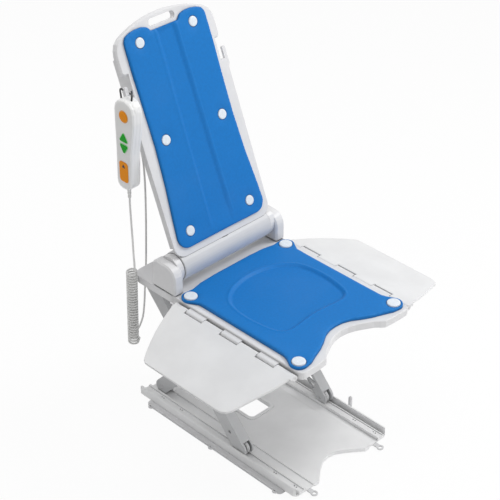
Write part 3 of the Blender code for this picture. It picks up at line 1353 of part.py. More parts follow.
def build_loop(joint, looks):
    """Build the hanging loop that goes through the left hook's slot and holds the handset."""
    inner = HOOK_INNER - 0.0035
    outer = -HANDSET_BACK - SEAT_GAP - LOOP_RADIUS
    u = -(outer + inner) / 2
    v = HOOK_SLOT_BOTTOM + LOOP_RADIUS + SEAT_GAP
    y = RIM_FRONT + RIM_THICKNESS / 2
    points = []
    for index in range(16):
        angle = math.tau * index / 16
        across = u + (outer - inner) / 2 * math.cos(angle)
        along = y + 0.0078 * math.sin(angle)
        world_y = HINGE_Y + along * math.cos(BACK_TILT) + v * math.sin(BACK_TILT)
        world_z = HINGE_Z - along * math.sin(BACK_TILT) + v * math.cos(BACK_TILT)
        points.append((across, world_y, world_z))
    curve_tube("handset_loop", points, LOOP_RADIUS, 1, looks["black"], joint, cyclic=True)


def smooth_route(points, step):
    """Return points a step apart on a smooth curve through a route's own points."""
    dense = []
    knots = [Vector(point) for point in points]
    knots = [2 * knots[0] - knots[1]] + knots + [2 * knots[-1] - knots[-2]]
    for index in range(1, len(knots) - 2):
        a, b, c, d = knots[index - 1:index + 3]
        for part in range(20):
            t = part / 20
            dense.append(0.5 * (2 * b + (c - a) * t + (2 * a - 5 * b + 4 * c - d) * t ** 2
                                + (3 * b - a - 3 * c + d) * t ** 3))
    dense.append(knots[-2])
    length = sum((after - before).length for before, after in zip(dense, dense[1:]))
    count = max(2, round(length / step))
    walked = 0.0
    route = [dense[0]]
    for before, after in zip(dense, dense[1:]):
        piece = (after - before).length
        while len(route) < count and walked + piece >= length * len(route) / count:
            share = (length * len(route) / count - walked) / piece
            route.append(before.lerp(after, share))
        walked += piece
    route.append(dense[-1])
    return route, length


def coil_points():
    """Return the curly cord's points from the lead down, its last one on a straight run."""
    per_turn = 7
    rise = 0.012
    points = []
    start = Vector((COIL_X, COIL_TOP_Y - COIL_RADIUS, COIL_TOP_Z + rise))
    for height in (0.0055, 0.003):
        points.append(start + Vector((0.0, 0.0, height)))
    for step in range(4):
        share = step / 4
        angle = -math.pi / 2 + math.pi / 2 * share ** 2
        points.append(coil_point(angle, COIL_TOP_Z + rise * (1 - share) ** 2))
    last = round(per_turn * (COIL_TURNS - 1) + per_turn * 0.85)
    for step in range(last + 1):
        angle = math.tau * step / per_turn
        points.append(coil_point(angle, COIL_TOP_Z - COIL_PITCH * step / per_turn))
    way = (points[-1] - points[-2]).normalized()
    out = Vector((math.cos(angle + math.pi / 2), math.sin(angle + math.pi / 2), way.z)).normalized()
    for reach in (0.003, 0.0085):
        points.append(points[last + 6] + out * reach)
    return points


def coil_point(angle, height):
    """Return a point round the coil's middle line, which leans back a little going down."""
    middle_y = COIL_TOP_Y + COIL_LEAN * (COIL_TOP_Z - height)
    return Vector((COIL_X + COIL_RADIUS * math.cos(angle), middle_y + COIL_RADIUS * math.sin(angle),
                   height))


def least_gap(points, radius, skip):
    """Return the least clear space between two turns of a tube."""
    gap = 1.0
    for index, point in enumerate(points):
        for other in points[index + skip:]:
            gap = min(gap, (point - other).length - 2 * radius)
    return gap


def build_cord(joint, looks):
    """Build the lead, the curly cord, the return cord and its plug."""
    coil = coil_points()
    print("least gap inside the curly cord, mm:", round(1000 * least_gap(coil, CORD_RADIUS, 6), 2))
    curve_tube("curly_cord", coil, CORD_RADIUS, 1, looks["cord"], joint)
    top = coil[0]
    relief_tip = HANDSET_BOTTOM - SEAT_GAP - RELIEF_LENGTH - SEAT_GAP
    lead_route = [(HANDSET_X, RELIEF_Y, relief_tip), (HANDSET_X - 0.001, RELIEF_Y - 0.001, 0.600),
                  (-0.1850, 0.2640, 0.560), (-0.1925, 0.2530, 0.515), (-0.2030, 0.2390, 0.476),
                  (top.x, top.y, top.z + 0.012), (top.x, top.y, top.z + SEAT_GAP)]
    lead, lead_length = smooth_route(lead_route, CORD_RADIUS * 6)
    curve_tube("cord_lead", lead, CORD_RADIUS, 2, looks["cord"], joint)
    way = (coil[-1] - coil[-2]).normalized()
    start = coil[-1] + way * SEAT_GAP
    plug_end = drive_point(-PLUG_OUTER - SEAT_GAP, PLUG_BACK, PLUG_HEIGHT)
    back_route = [start + way * 0.006, start + way * 0.011, (-0.1775, 0.2680, 0.2055), (-0.1735, 0.2800, 0.2045),
                  (-0.1640, 0.2885, 0.2060), (-0.1530, 0.2905, 0.2130),
                  (-0.1405, 0.2900, 0.2381), (-0.1337, 0.2900, 0.2770), (-0.1293, 0.2900, 0.3241),
                  (-0.1225, 0.2900, 0.3939), (-0.1160, 0.2900, 0.5339), (-0.1146, 0.2905, 0.6446),
                  (-0.1140, 0.2990, 0.7100), (-0.1150, 0.3220, 0.7800), (-0.1120, 0.3450, 0.8300),
                  plug_end + Vector((-0.020, -0.002, -0.008)), plug_end + Vector((-0.012, 0.0, 0.0)),
                  plug_end + Vector((-0.006, 0.0, 0.0))]
    back, back_length = smooth_route(back_route, CORD_RADIUS * 7)
    back = [start] + back + [plug_end]
    curve_tube("return_cord", back, CORD_RADIUS, 2, looks["cord"], joint)
    coil_length = sum((after - before).length for before, after in zip(coil, coil[1:]))
    print("cord lengths, mm:", round(1000 * lead_length), round(1000 * coil_length),
          round(1000 * back_length), "points:", len(lead), len(coil), len(back))


def drive_point(x, back, height):
    """Return a point of the backrest's own frame in the lift's frame."""
    return Vector((x, HINGE_Y + back * math.cos(BACK_TILT) + height * math.sin(BACK_TILT),
                   HINGE_Z - back * math.sin(BACK_TILT) + height * math.cos(BACK_TILT)))


def build_plug(joint, looks):
    """Build the plug at the drive box's side."""
    shape = bmesh.new()
    profile = [(0.0, BOX_HALF_WIDTH + SEAT_GAP), (0.011, BOX_HALF_WIDTH + SEAT_GAP),
               (0.011, BOX_HALF_WIDTH + 0.013), (0.009, BOX_HALF_WIDTH + 0.016),
               (0.005, BOX_HALF_WIDTH + 0.018), (0.004, PLUG_OUTER), (0.0, PLUG_OUTER)]
    spin_profile(shape, profile, (0.0, 0.0, 0.0), 12)
    bmesh.ops.rotate(shape, verts=shape.verts, matrix=Matrix.Rotation(-math.pi / 2, 3, "Y"))
    bmesh.ops.translate(shape, verts=shape.verts, vec=(0.0, PLUG_BACK, PLUG_HEIGHT))
    add_object("cord_plug", close_shape(shape, "plug"), looks["black"], joint)


def surfaces():
    """Return the lift's materials by name."""
    return {
        "base": material("base_plastic", (0.62, 0.62, 0.63), 0.45),
        "seat": material("seat_plastic", (0.78, 0.78, 0.78), 0.38),
        "shell": material("shell_plastic", (0.78, 0.78, 0.78), 0.38),
        "flap": material("flap_plastic", (0.80, 0.80, 0.80), 0.40),
        "arm": material("arm_plastic", (0.60, 0.61, 0.62), 0.45),
        "pad": material("pad_foam", (0.020, 0.200, 0.560), 0.60),
        "button": material("button_plastic", (0.85, 0.88, 0.90), 0.35),
        "rubber": material("dark_rubber", (0.12, 0.12, 0.12), 0.80),
        "steel": material("steel", (0.60, 0.60, 0.61), 0.30, 1.0),
        "nylon": material("nylon", (0.25, 0.25, 0.26), 0.50),
        "tube": material("white_tube", (0.85, 0.85, 0.85), 0.30),
        "grey": material("grey_plastic", (0.45, 0.47, 0.50), 0.40),
        "handset": material("handset_plastic", (0.80, 0.80, 0.79), 0.40),
        "orange": material("orange_plastic", (0.72, 0.22, 0.02), 0.45),
        "green": material("green_plastic", (0.01, 0.32, 0.06), 0.45),
        "board": material("circuit_board", (0.03, 0.20, 0.08), 0.60),
        "cord": material("cord_vinyl", (0.72, 0.72, 0.71), 0.45),
        "black": material("black_plastic", (0.02, 0.02, 0.02), 0.60),
    }


def outline_middle(skip):
    """Return the middle of the lift's outline across and along, without the cord's pieces."""
    bpy.context.view_layer.update()
    graph = bpy.context.evaluated_depsgraph_get()
    corners = []
    for piece in bpy.context.scene.objects:
        if piece.type != "MESH" or piece.display_type == "WIRE" or piece.name in skip:
            continue
        shown = piece.evaluated_get(graph)
        corners += [piece.matrix_world @ vertex.co for vertex in shown.data.vertices]
    return [(min(c[axis] for c in corners) + max(c[axis] for c in corners)) / 2 for axis in (0, 1)]


def main():
    """Build the lift and put its origin under the middle of its outline."""
    for old in list(bpy.data.objects):
        bpy.data.objects.remove(old, do_unlink=True)
    looks = surfaces()
    root = frame("lift", None, (0.0, 0.0, 0.0))
    build_base(root, looks)
    inner = frame("inner_arm_joint", root, (0.0, REAR_PIVOT_Y, PIVOT_HEIGHT), -LIFT_ANGLE)
    build_inner_arms(inner, looks)
    build_seat_rollers(inner, looks)
    outer = frame("outer_arm_joint", root, (0.0, CENTRE_Y, CENTRE_Z), LIFT_ANGLE)
    build_outer_arms(outer, looks)
    build_base_rollers(outer, looks)
    seat_joint = frame("seat_joint", root, (0.0, REAR_PIVOT_Y, SEAT_PIVOT_Z))
    seat = frame("seat_frame", seat_joint, (0.0, -REAR_PIVOT_Y, -SEAT_FRAME_PIVOT))
    build_seat(seat, looks)
    for side, label in ((-1, "left"), (1, "right")):
        hinge = frame("flap_joint_" + label, seat, (side * FLAP_HINGE_X, 0.0, FLAP_HINGE_Z),
                      0.0, side * FLAP_DROOP)
        build_flap(label, side, hinge, looks)
    back = frame("backrest_joint", seat, (0.0, HINGE_Y, HINGE_Z), -BACK_TILT)
    build_backrest(back, looks)
    build_plug(back, looks)
    offset = Matrix.Rotation(BACK_TILT, 3, "X") @ Vector((0.0, -HINGE_Y, -HINGE_Z))
    hanger = frame("handset_frame", back, offset, BACK_TILT)
    build_handset(hanger, looks)
    build_cord(hanger, looks)
    middle = outline_middle(("cord_plug",))
    root.location = (0.0, -middle[1], 0.0)
    print("base's middle lies at Y, m:", round(-middle[1], 6))


main()
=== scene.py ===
# %% [markdown]
# # A fall recovery lift, dressed for its picture
#
# The lift is already built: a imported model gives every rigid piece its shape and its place. This
# notebook adds what a solid model leaves out. It gives every surface a finish made of nodes,
# swells and presses the two foam pads, winds the curly cord, sets the small screws, and lights the
# whole like a plain studio photograph.
#
# Everything is in metres. +Z is up and the seated person would face -Y. The handset hangs on the
# -X side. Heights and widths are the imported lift's own. Its designer measured Y from the middle of
# the base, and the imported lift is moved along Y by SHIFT, so that its outline is centred.

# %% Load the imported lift
import math

import bmesh
import bpy
import numpy as np
from mathutils import Matrix, Vector
from mathutils.geometry import delaunay_2d_cdt


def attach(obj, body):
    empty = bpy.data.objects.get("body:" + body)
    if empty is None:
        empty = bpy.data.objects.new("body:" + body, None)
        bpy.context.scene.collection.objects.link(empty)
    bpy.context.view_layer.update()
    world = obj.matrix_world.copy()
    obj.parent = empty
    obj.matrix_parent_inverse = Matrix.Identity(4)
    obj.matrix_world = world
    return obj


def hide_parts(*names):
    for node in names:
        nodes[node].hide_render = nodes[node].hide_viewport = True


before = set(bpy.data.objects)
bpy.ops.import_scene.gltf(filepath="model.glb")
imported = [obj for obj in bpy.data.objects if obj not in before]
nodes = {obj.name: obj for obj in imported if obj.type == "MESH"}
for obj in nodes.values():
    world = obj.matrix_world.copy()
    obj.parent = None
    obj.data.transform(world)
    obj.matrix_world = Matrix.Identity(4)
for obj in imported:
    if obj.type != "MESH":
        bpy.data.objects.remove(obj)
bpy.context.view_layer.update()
SHIFT = -0.041241
print("pieces in the packed lift:", len(nodes))

# %% [markdown]
# ## The camera
#
# The picture was taken from above the left front corner, with a long lens, so that upright lines
# stay nearly parallel. Solving the straight edges of the base and the seat gave the camera's
# turn, its height and its distance. A long lens from far away is right here: a short lens close
# by would spread the legs of the frame.

# %% Place the camera
PHOTO_PIXELS = 500
FOCAL_PIXELS = 1555.4
SENSOR_WIDTH = 36.0
CAMERA_TURN = math.radians(-44.55)
CAMERA_DROP = math.radians(33.51)
CAMERA_PLACE = Vector((-2.2018, -2.1934 + SHIFT, 2.5706))

camera_data = bpy.data.cameras.new("camera")
camera_data.lens = SENSOR_WIDTH * FOCAL_PIXELS / PHOTO_PIXELS
camera_data.sensor_width = SENSOR_WIDTH
camera = bpy.data.objects.new("camera", camera_data)
camera.location = CAMERA_PLACE
camera.rotation_euler = (math.pi / 2 - CAMERA_DROP, 0.0, CAMERA_TURN)
bpy.context.scene.collection.objects.link(camera)
bpy.context.scene.camera = camera
print("lens, mm:", round(camera_data.lens, 1))

# %% [markdown]
# ## Writing shaders as sums
#
# A finish is a formula: take a colour, darken it where some noise is high, roughen it where dust
# lies. Node by node that is hard to read. Here one small class wraps a node's output, and Python's
# own signs add the Math nodes, so that `1 - mask` or `grain * 0.3 + dust` builds the tree.
# `Finish` holds the material and has a single way to add any other node.

# %% Signals and finishes
class Signal:
    """A node's output that can be used in Python sums."""

    def __init__(self, finish, socket):
        self.finish = finish
        self.socket = socket

    def math(self, operation, *others):
        """Add one Math node that takes this signal first."""
        inputs = dict(enumerate((self,) + others))
        return self.finish.add("Math", {"operation": operation}, inputs)

    def __add__(self, other):
        return self.math("ADD", other)

    def __sub__(self, other):
        return self.math("SUBTRACT", other)

    def __rsub__(self, other):
        return self.finish.add("Math", {"operation": "SUBTRACT"}, {0: other, 1: self})

    def __mul__(self, other):
        return self.math("MULTIPLY", other)

    __radd__ = __add__
    __rmul__ = __mul__

    def span(self, low, high):
        """Return 0 below low and 1 above high, with a smooth slope between."""
        settings = {"interpolation_type": "SMOOTHSTEP"}
        return self.finish.add("MapRange", settings, {0: self, 1: low, 2: high})


class Finish:
    """The nodes of one material, named for what it covers, or of the world."""

    def __init__(self, name, world=None):
        self.owner = world or bpy.data.materials.new(name)
        self.owner.use_nodes = True
        self.tree = self.owner.node_tree
        self.shader = self.tree.nodes["Background" if world else "Principled BSDF"]
        self.place = self.add("TexCoord", out="Object")

    def add(self, kind, settings=None, inputs=None, out=0):
        """Add a node, set its settings first, then its inputs, and return one output."""
        node = self.tree.nodes.new("ShaderNode" + kind)
        for key, value in (settings or {}).items():
            setattr(node, key, value)
        for key, value in (inputs or {}).items():
            self.feed(node.inputs[key], value)
        return Signal(self, node.outputs[out])

    def feed(self, socket, value):
        """Link a signal to an input, or write a plain value there."""
        if isinstance(value, Signal):
            self.tree.links.new(value.socket, socket)
        elif hasattr(value, "__len__") and len(value) == 3 and socket.type == "RGBA":
            socket.default_value = (*value, 1.0)
        else:
            socket.default_value = value

    def mix(self, share, first, second):
        """Blend two colours by a share from 0 to 1."""
        settings = {"data_type": "RGBA", "clamp_factor": True}
        return self.add("Mix", settings, {0: share, 6: first, 7: second}, out=2)

    def noise(self, size, detail=2.0, stretch=(1.0, 1.0, 1.0)):
        """Return noise whose lumps are about the given size, in metres."""
        scaled = self.add("Mapping", None, {"Vector": self.place, "Scale": stretch})
        inputs = {"Vector": scaled, "Scale": 1.0 / size, "Detail": detail}
        return self.add("TexNoise", None, inputs)

    def cells(self, size, feature="F1"):
        """Return the distance to the nearest of scattered points, for pebbles and foam."""
        inputs = {"Vector": self.place, "Scale": 1.0 / size}
        return self.add("TexVoronoi", {"feature": feature}, inputs)

    def open_air(self, reach):
        """Return 1 in the open and less in a crevice; reach is how far it looks, in metres."""
        return self.add("AmbientOcclusion", {"samples": 6}, {"Distance": reach}, out="AO")

    def bump(self, height, depth, strength):
        """Turn a height from 0 to 1 into a bumped normal; depth is in metres."""
        inputs = {"Height": height, "Distance": depth, "Strength": strength}
        return self.add("Bump", None, inputs)

    def set(self, **inputs):
        """Write the shader's inputs; spaces in their names are underscores here."""
        for key, value in inputs.items():
            self.feed(self.shader.inputs[key.replace("_", " ")], value)
        return self.owner


def shade(colour, share, lift=0.0):
    """Return a colour scaled by a share, and made greyer by a lift."""
    return tuple(part * share + lift for part in colour)


print("finish maker ready")

# %% [markdown]
# ## Moulded plastic
#
# Nearly all of the lift is injection-moulded plastic. The real surface is satin, because the
# mould is sandblasted: close up it has a fine tooth, and broad patches differ a little in shine
# where the plastic flowed and where hands rub it. So the grain is a bump of fine noise, the sheen
# wanders slowly, dust dulls the faces that lie flat, and painted shade darkens the colour in the
# crevices. A Bevel node rounds the edges in the shading, which catches light as a real moulded
# edge does and costs no geometry.

# %% Moulded plastic
DUST_COLOUR = (0.52, 0.49, 0.44)
CREVICE_REACH = 0.008


def moulded_plastic(name, colour, shine, grain=0.0008, depth=0.00006, dust=0.10, edge=0.0012):
    """Return satin moulded plastic with a sandblasted tooth."""
    finish = Finish(name)
    tooth = finish.noise(grain, detail=3.0)
    cloudy = finish.noise(0.09, detail=3.0)
    flow = finish.noise(0.035, detail=2.0, stretch=(1.0, 0.35, 1.0))
    dusty = tuple(0.80 * part + 0.10 * grey for part, grey in zip(colour, DUST_COLOUR))
    body = finish.mix(cloudy.span(0.25, 0.75), shade(colour, 0.93), colour)
    up = finish.add("NewGeometry", out="Normal")
    facing = finish.add("SeparateXYZ", None, {0: up}, out="Z")
    lies = facing.span(0.55, 1.0) * finish.noise(0.02, detail=6.0).span(0.45, 0.75) * dust
    # Painted shade: an ambient occlusion node darkens the colour in crevices and between parts.
    unshaded_share = finish.open_air(CREVICE_REACH).span(0.15, 0.80)
    tint = finish.mix(unshaded_share, shade(colour, 0.42), finish.mix(lies, body, dusty))
    rounded = finish.add("Bevel", {"samples": 4}, {"Radius": edge})
    bumped = finish.bump(tooth, depth, 0.6)
    finish.tree.links.new(rounded.socket, bumped.socket.node.inputs["Normal"])
    roughness = shine + flow * 0.10 - 0.05 + lies * 0.5
    return finish.set(Base_Color=tint, Roughness=roughness, Normal=bumped,
                      Specular_IOR_Level=0.45)


WHITE_PLASTIC = moulded_plastic("white_moulding", (0.745, 0.745, 0.755), 0.40)
# Painted shade: the hinge barrel is white plastic like the rest, given a darker colour for the shade
# on its front.
SHADED_BARREL_PLASTIC = moulded_plastic("barrel_moulding_painted_shade", (0.635, 0.640, 0.655), 0.38)
FLAP_PLASTIC = moulded_plastic("flap_moulding", (0.765, 0.768, 0.772), 0.42)
# Painted light: the base is white plastic like the rest, given a brighter colour so that the deck in
# the seat's shade stays bright.
LIT_BASE_PLASTIC = moulded_plastic("base_moulding_painted_light", (0.900, 0.902, 0.905), 0.45, dust=0.15)
ARM_PLASTIC = moulded_plastic("arm_moulding", (0.560, 0.565, 0.575), 0.42, dust=0.15)
HANDSET_PLASTIC = moulded_plastic("handset_moulding", (0.870, 0.870, 0.865), 0.38, grain=0.0005)
COVER_PLASTIC = moulded_plastic("cover_moulding", (0.420, 0.440, 0.470), 0.40)
BLACK_PLASTIC = moulded_plastic("black_moulding", (0.018, 0.018, 0.019), 0.45, grain=0.0004)
print("moulded finishes made")

# %% [markdown]
# ## Foam pads
#
# The blue pads are soft closed-cell foam with a moulded skin. From a metre away they look like one
# matt blue, but the skin has a pebble grain about a millimetre across and pales a little where it
# has been rubbed. Its colour is darkened at its foot, where it meets the plastic, as painted shade.
# Scattered-point cells make the pebbles; noise would look like stone. A constant touch of sheen
# gives the soft edge-on glow of foam.

# %% Foam finish
FOOT_REACH = 0.010


def foam_skin(name, colour):
    """Return the matt pebbled skin of a foam pad."""
    finish = Finish(name)
    pebbles = finish.cells(0.0013)
    pores = finish.noise(0.0004, detail=2.0)
    worn = finish.noise(0.12, detail=4.0).span(0.45, 0.80)
    mottle = finish.noise(0.006, detail=3.0)
    pale = shade(colour, 0.94, 0.02)
    body = finish.mix(mottle.span(0.3, 0.7), shade(colour, 0.93), colour)
    # Painted shade: an ambient occlusion node darkens the skin where it meets the plastic and in its
    # hollows.
    lit = finish.open_air(FOOT_REACH).span(0.40, 0.95)
    tint = finish.mix(lit, shade(colour, 0.32), finish.mix(worn * 0.30, body, pale))
    height = pebbles * 0.8 + pores * 0.25
    bumped = finish.bump(height, 0.00012, 0.25)
    return finish.set(Base_Color=tint, Roughness=0.50 + mottle * 0.10 - worn * 0.06, Normal=bumped,
                      Sheen_Weight=0.02, Sheen_Roughness=0.5, Specular_IOR_Level=0.25)


PAD_FOAM = foam_skin("pad_foam_skin", (0.002, 0.176, 0.538))
print("foam finish made")

# %% [markdown]
# ## Metal, rubber and cord
#
# The shafts are turned steel: the tool leaves rings round the bar, so the noise is squeezed along
# X, the way every shaft lies. The drive's tube is painted white. The foot strips, the pull rings
# and the small peg are moulded rubber, dull and a bit dusty. The cord's jacket is smooth vinyl.

# %% Metal, rubber and cord finishes
def turned_steel(name, colour):
    """Return turned steel whose tool marks run round the bar."""
    finish = Finish(name)
    rings = finish.noise(0.0012, detail=2.0, stretch=(1.0, 0.02, 0.02))
    stain = finish.noise(0.015, detail=5.0).span(0.5, 0.85)
    tint = finish.mix(stain * 0.5, colour, shade(colour, 0.70))
    bumped = finish.bump(rings, 0.00004, 0.4)
    return finish.set(Base_Color=tint, Metallic=1.0, Roughness=0.24 + rings * 0.12 + stain * 0.15,
                      Normal=bumped)


def painted_tube(name, colour):
    """Return smooth paint with the faint orange peel of a sprayed tube."""
    finish = Finish(name)
    peel = finish.cells(0.0025, "SMOOTH_F1")
    cloudy = finish.noise(0.05, detail=2.0)
    tint = finish.mix(cloudy.span(0.3, 0.7), shade(colour, 0.95), colour)
    return finish.set(Base_Color=tint, Roughness=0.28 + cloudy * 0.08,
                      Normal=finish.bump(peel, 0.00005, 0.4), Coat_Weight=0.2, Coat_Roughness=0.15)


def moulded_rubber(name, colour):
    """Return dull rubber with dust in its pores."""
    finish = Finish(name)
    pores = finish.noise(0.0009, detail=4.0)
    dust = finish.noise(0.012, detail=6.0).span(0.48, 0.80)
    tint = finish.mix(dust * 0.25, colour, (0.45, 0.44, 0.42))
    return finish.set(Base_Color=tint, Roughness=0.74 + dust * 0.15,
                      Normal=finish.bump(pores, 0.00010, 0.6), Specular_IOR_Level=0.3)


def cord_jacket(name, colour):
    """Return smooth soft vinyl, slightly yellowed and scuffed."""
    finish = Finish(name)
    drawn = finish.noise(0.004, detail=3.0)
    scuff = finish.noise(0.010, detail=5.0).span(0.55, 0.80)
    tint = finish.mix(scuff * 0.35, colour, (0.60, 0.58, 0.52))
    return finish.set(Base_Color=tint, Roughness=0.36 + drawn * 0.12 + scuff * 0.15,
                      Normal=finish.bump(drawn, 0.00006, 0.4))


STEEL = turned_steel("turned_steel", (0.62, 0.62, 0.63))
PAINTED_TUBE = painted_tube("white_paint", (0.790, 0.795, 0.800))
GREY_RUBBER = moulded_rubber("grey_rubber_moulding", (0.70, 0.70, 0.71))
CORD_VINYL = cord_jacket("cord_jacket", (0.74, 0.74, 0.73))
print("metal, rubber and cord finishes made")

# %% [markdown]
# ## Buttons, board and rollers
#
# The handset's keys are soft silicone with a faint frost, and its orange panel has the same face.
# The pads' buttons are hard glossy plastic, pale, with a breath of blue painted into their colour
# as a reflection of the pad around them. The circuit board and the rollers take the moulded finish
# with a finer grain.

# %% Button, board and roller finishes
def frosted_key(name, colour):
    """Return a silicone key with a frosted top."""
    finish = Finish(name)
    frost = finish.noise(0.0005, detail=2.0)
    rubbed = finish.noise(0.008, detail=3.0).span(0.4, 0.7)
    tint = finish.mix(rubbed * 0.25, colour, shade(colour, 0.85, 0.004))
    return finish.set(Base_Color=tint, Roughness=0.42 + frost * 0.10,
                      Normal=finish.bump(frost, 0.00005, 0.5), Specular_IOR_Level=0.15)


def hard_button(name, colour):
    """Return the hard, slightly glossy plastic of a pad button."""
    finish = Finish(name)
    swirl = finish.noise(0.006, detail=4.0)
    scratch = finish.noise(0.0012, detail=3.0, stretch=(1.0, 0.05, 1.0)).span(0.55, 0.75)
    tint = finish.mix(swirl.span(0.3, 0.7), shade(colour, 0.95), colour)
    return finish.set(Base_Color=tint, Roughness=0.24 + scratch * 0.14 + swirl * 0.05,
                      Normal=finish.bump(scratch, 0.00002, 0.4),
                      Coat_Weight=0.15, Coat_Roughness=0.2)


ORANGE_KEY = frosted_key("orange_key", (0.900, 0.300, 0.000))
GREEN_KEY = frosted_key("green_key", (0.001, 0.380, 0.012))
PALE_GREEN = frosted_key("pale_green_surround", (0.330, 0.700, 0.330))
PALE_ORANGE = frosted_key("pale_orange_surround", (0.760, 0.420, 0.160))
# Painted reflection: the blue tint in the buttons' colour stands for the pad they mirror; the pale
# plastic is their own.
PAD_BUTTON = hard_button("pad_button", (0.760, 0.820, 0.880))
BOARD = moulded_plastic("board_lacquer", (0.020, 0.160, 0.060), 0.30, grain=0.0006)
NYLON = moulded_plastic("roller_nylon", (0.600, 0.605, 0.610), 0.42, grain=0.0006)
print("button, board and roller finishes made")

# %% [markdown]
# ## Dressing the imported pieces
#
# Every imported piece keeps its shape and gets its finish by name. One table says which finish
# covers which pieces, so a colour is changed in one place.

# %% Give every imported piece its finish
COVERS = [
    (WHITE_PLASTIC, ["seat_plate", "hinge_cheek", "backrest_shell", "drive_box", "lower_bracket"]),
    (SHADED_BARREL_PLASTIC, ["hinge_barrel"]),
    (FLAP_PLASTIC, ["side_flap"]),
    (LIT_BASE_PLASTIC, ["base_plate"]),
    (ARM_PLASTIC, ["scissor_arm", "seat_track"]),
    (HANDSET_PLASTIC, ["handset_front", "handset_back"]),
    (COVER_PLASTIC, ["drive_box_cover"]),
    (BLACK_PLASTIC, ["handset_loop", "cord_plug"]),
    (PAD_FOAM, ["seat_pad", "backrest_pad"]),
    (STEEL, ["base_pivot_shaft", "centre_shaft", "cross_tube", "backrest_hinge_pin",
             "seat_pivot_pin", "flap_hinge_pin", "drive_motor", "drive_rod"]),
    (PAINTED_TUBE, ["drive_tube"]),
    (GREY_RUBBER, ["foot_strip", "pull_ring", "release_peg"]),
    (CORD_VINYL, ["cord_lead", "curly_cord", "return_cord", "strain_relief"]),
    (ORANGE_KEY, ["round_button", "handset_panel"]),
    (GREEN_KEY, ["up_button", "down_button"]),
    (PAD_BUTTON, ["seat_button"]),
    (BOARD, ["handset_board"]),
    (NYLON, ["base_roller", "seat_roller"]),
]


def dress(piece, material):
    """Put one material on all of a piece."""
    piece.data.materials.clear()
    piece.data.materials.append(material)


def finish_for(name):
    """Return the finish whose listed name fits a piece best."""
    fitting = [(len(start), material) for material, starts in COVERS for start in starts
               if name.startswith(start)]
    return max(fitting, key=lambda pair: pair[0])[1]


for name, piece in nodes.items():
    dress(piece, finish_for(name))
print("pieces dressed:", len(nodes))

# %% [markdown]
# ## Two foam pads
#
# On the real lift each pad is a sheet of soft foam, 6 to 8 mm thick, held to the plastic by big
# round buttons. Between the buttons it swells a little, and it dips where a button pulls it in. A
# flat sheet with a bevel would look like painted board, and a voxel remesh would chew the pad's
# crisp outline. So each pad is meshed on purpose: rows of points follow the outline, the button
# holes and the pressed shapes, an even grid fills the rest, and a constrained triangulation
# joins them.
#
# Each pad is worked on in its own flat frame: u across, v along, and h the height above the
# plastic. Its outline is written as its right half, which is mirrored.

# %% Frames and buttons of the two pads; a button is (u, v, radius)
SEAT_TOP = 0.4104
HINGE_Y = 0.152
HINGE_Z = 0.461
BACK_TILT = math.radians(22.3)
BACK_RIM = 0.0327
PAD_GAP = 0.0003

seat_plane = Matrix.Translation((0.0, SHIFT, SEAT_TOP + PAD_GAP))
back_frame = Matrix.Translation((0.0, HINGE_Y + SHIFT, HINGE_Z))
back_frame = back_frame @ Matrix.Rotation(math.pi / 2 - BACK_TILT, 4, "X")
back_plane = back_frame @ Matrix.Translation((0.0, 0.0, BACK_RIM + PAD_GAP))
seat_buttons = [(side * 0.163, v, 0.0165) for side in (-1, 1) for v in (0.0804, -0.2795)]
back_rows = ((0.0996, 0.0764), (0.0915, 0.3048), (0.0838, 0.5419))
back_buttons = [(side * u, v, 0.0125) for u, v in back_rows for side in (-1, 1)]
print("pad buttons:", len(seat_buttons), "and", len(back_buttons))


# %% Outlines of the pads and of their pressed shapes
def ring(middle, radius, start=0.0, turn=math.tau, steps=24):
    """Return points along an arc, or round a whole circle."""
    count = steps if turn >= math.tau else steps + 1
    angles = [start + turn * step / steps for step in range(count)]
    return [(middle[0] + radius * math.cos(a), middle[1] + radius * math.sin(a)) for a in angles]


def whole(right):
    """Return a whole outline from its right half, which runs from the foot to the head."""
    return right + [(-u, v) for u, v in right if u != 0.0][::-1]


def rounded_loop(points, passes):
    """Round a closed outline by cutting its corners, a few times over."""
    loop = [Vector(point) for point in points]
    for _ in range(passes):
        cut = []
        for here, after in zip(loop, loop[1:] + loop[:1]):
            cut += [here.lerp(after, 0.25), here.lerp(after, 0.75)]
        loop = cut
    return loop


seat_outline = whole(
    [(0.0, -0.242), (0.020, -0.2434), (0.0425, -0.251), (0.065, -0.2656), (0.088, -0.2776),
     (0.115, -0.288), (0.140, -0.2985)]
    + ring((0.163, -0.2795), 0.0225, -1.75, 2.35, 12)
    + [(0.172, -0.250), (0.168, -0.235), (0.168, 0.045)]
    + ring((0.163, 0.0804), 0.0225, -0.75, 2.2, 12)
    + [(0.140, 0.0995), (0.110, 0.1065), (0.060, 0.110), (0.0, 0.110)])
back_outline = whole(
    ring((0.112, 0.0689), 0.030, -math.pi / 2, math.pi / 2, 10)
    + [(0.1385, 0.120), (0.131, 0.200), (0.126, 0.300), (0.127, 0.400), (0.1285, 0.480),
       (0.1275, 0.545), (0.1262, 0.5565), (0.1195, 0.5660), (0.105, 0.5718), (0.087, 0.5748),
       (0.067, 0.5745), (0.052, 0.5700), (0.0465, 0.5640), (0.043, 0.5585)])
sitting_area = rounded_loop(whole(
    [(0.0, -0.175), (0.035, -0.178), (0.067, -0.1825), (0.097, -0.1825), (0.1165, -0.165),
     (0.1275, -0.1128), (0.1295, -0.066), (0.1225, -0.020), (0.110, 0.003), (0.083, 0.0265),
     (0.045, 0.0415), (0.0, 0.047)]), 2)
back_trough = [(-0.037, 0.030), (0.037, 0.030), (0.030, 0.5585), (-0.030, 0.5585)]
print("outline points:", len(seat_outline), "and", len(back_outline))


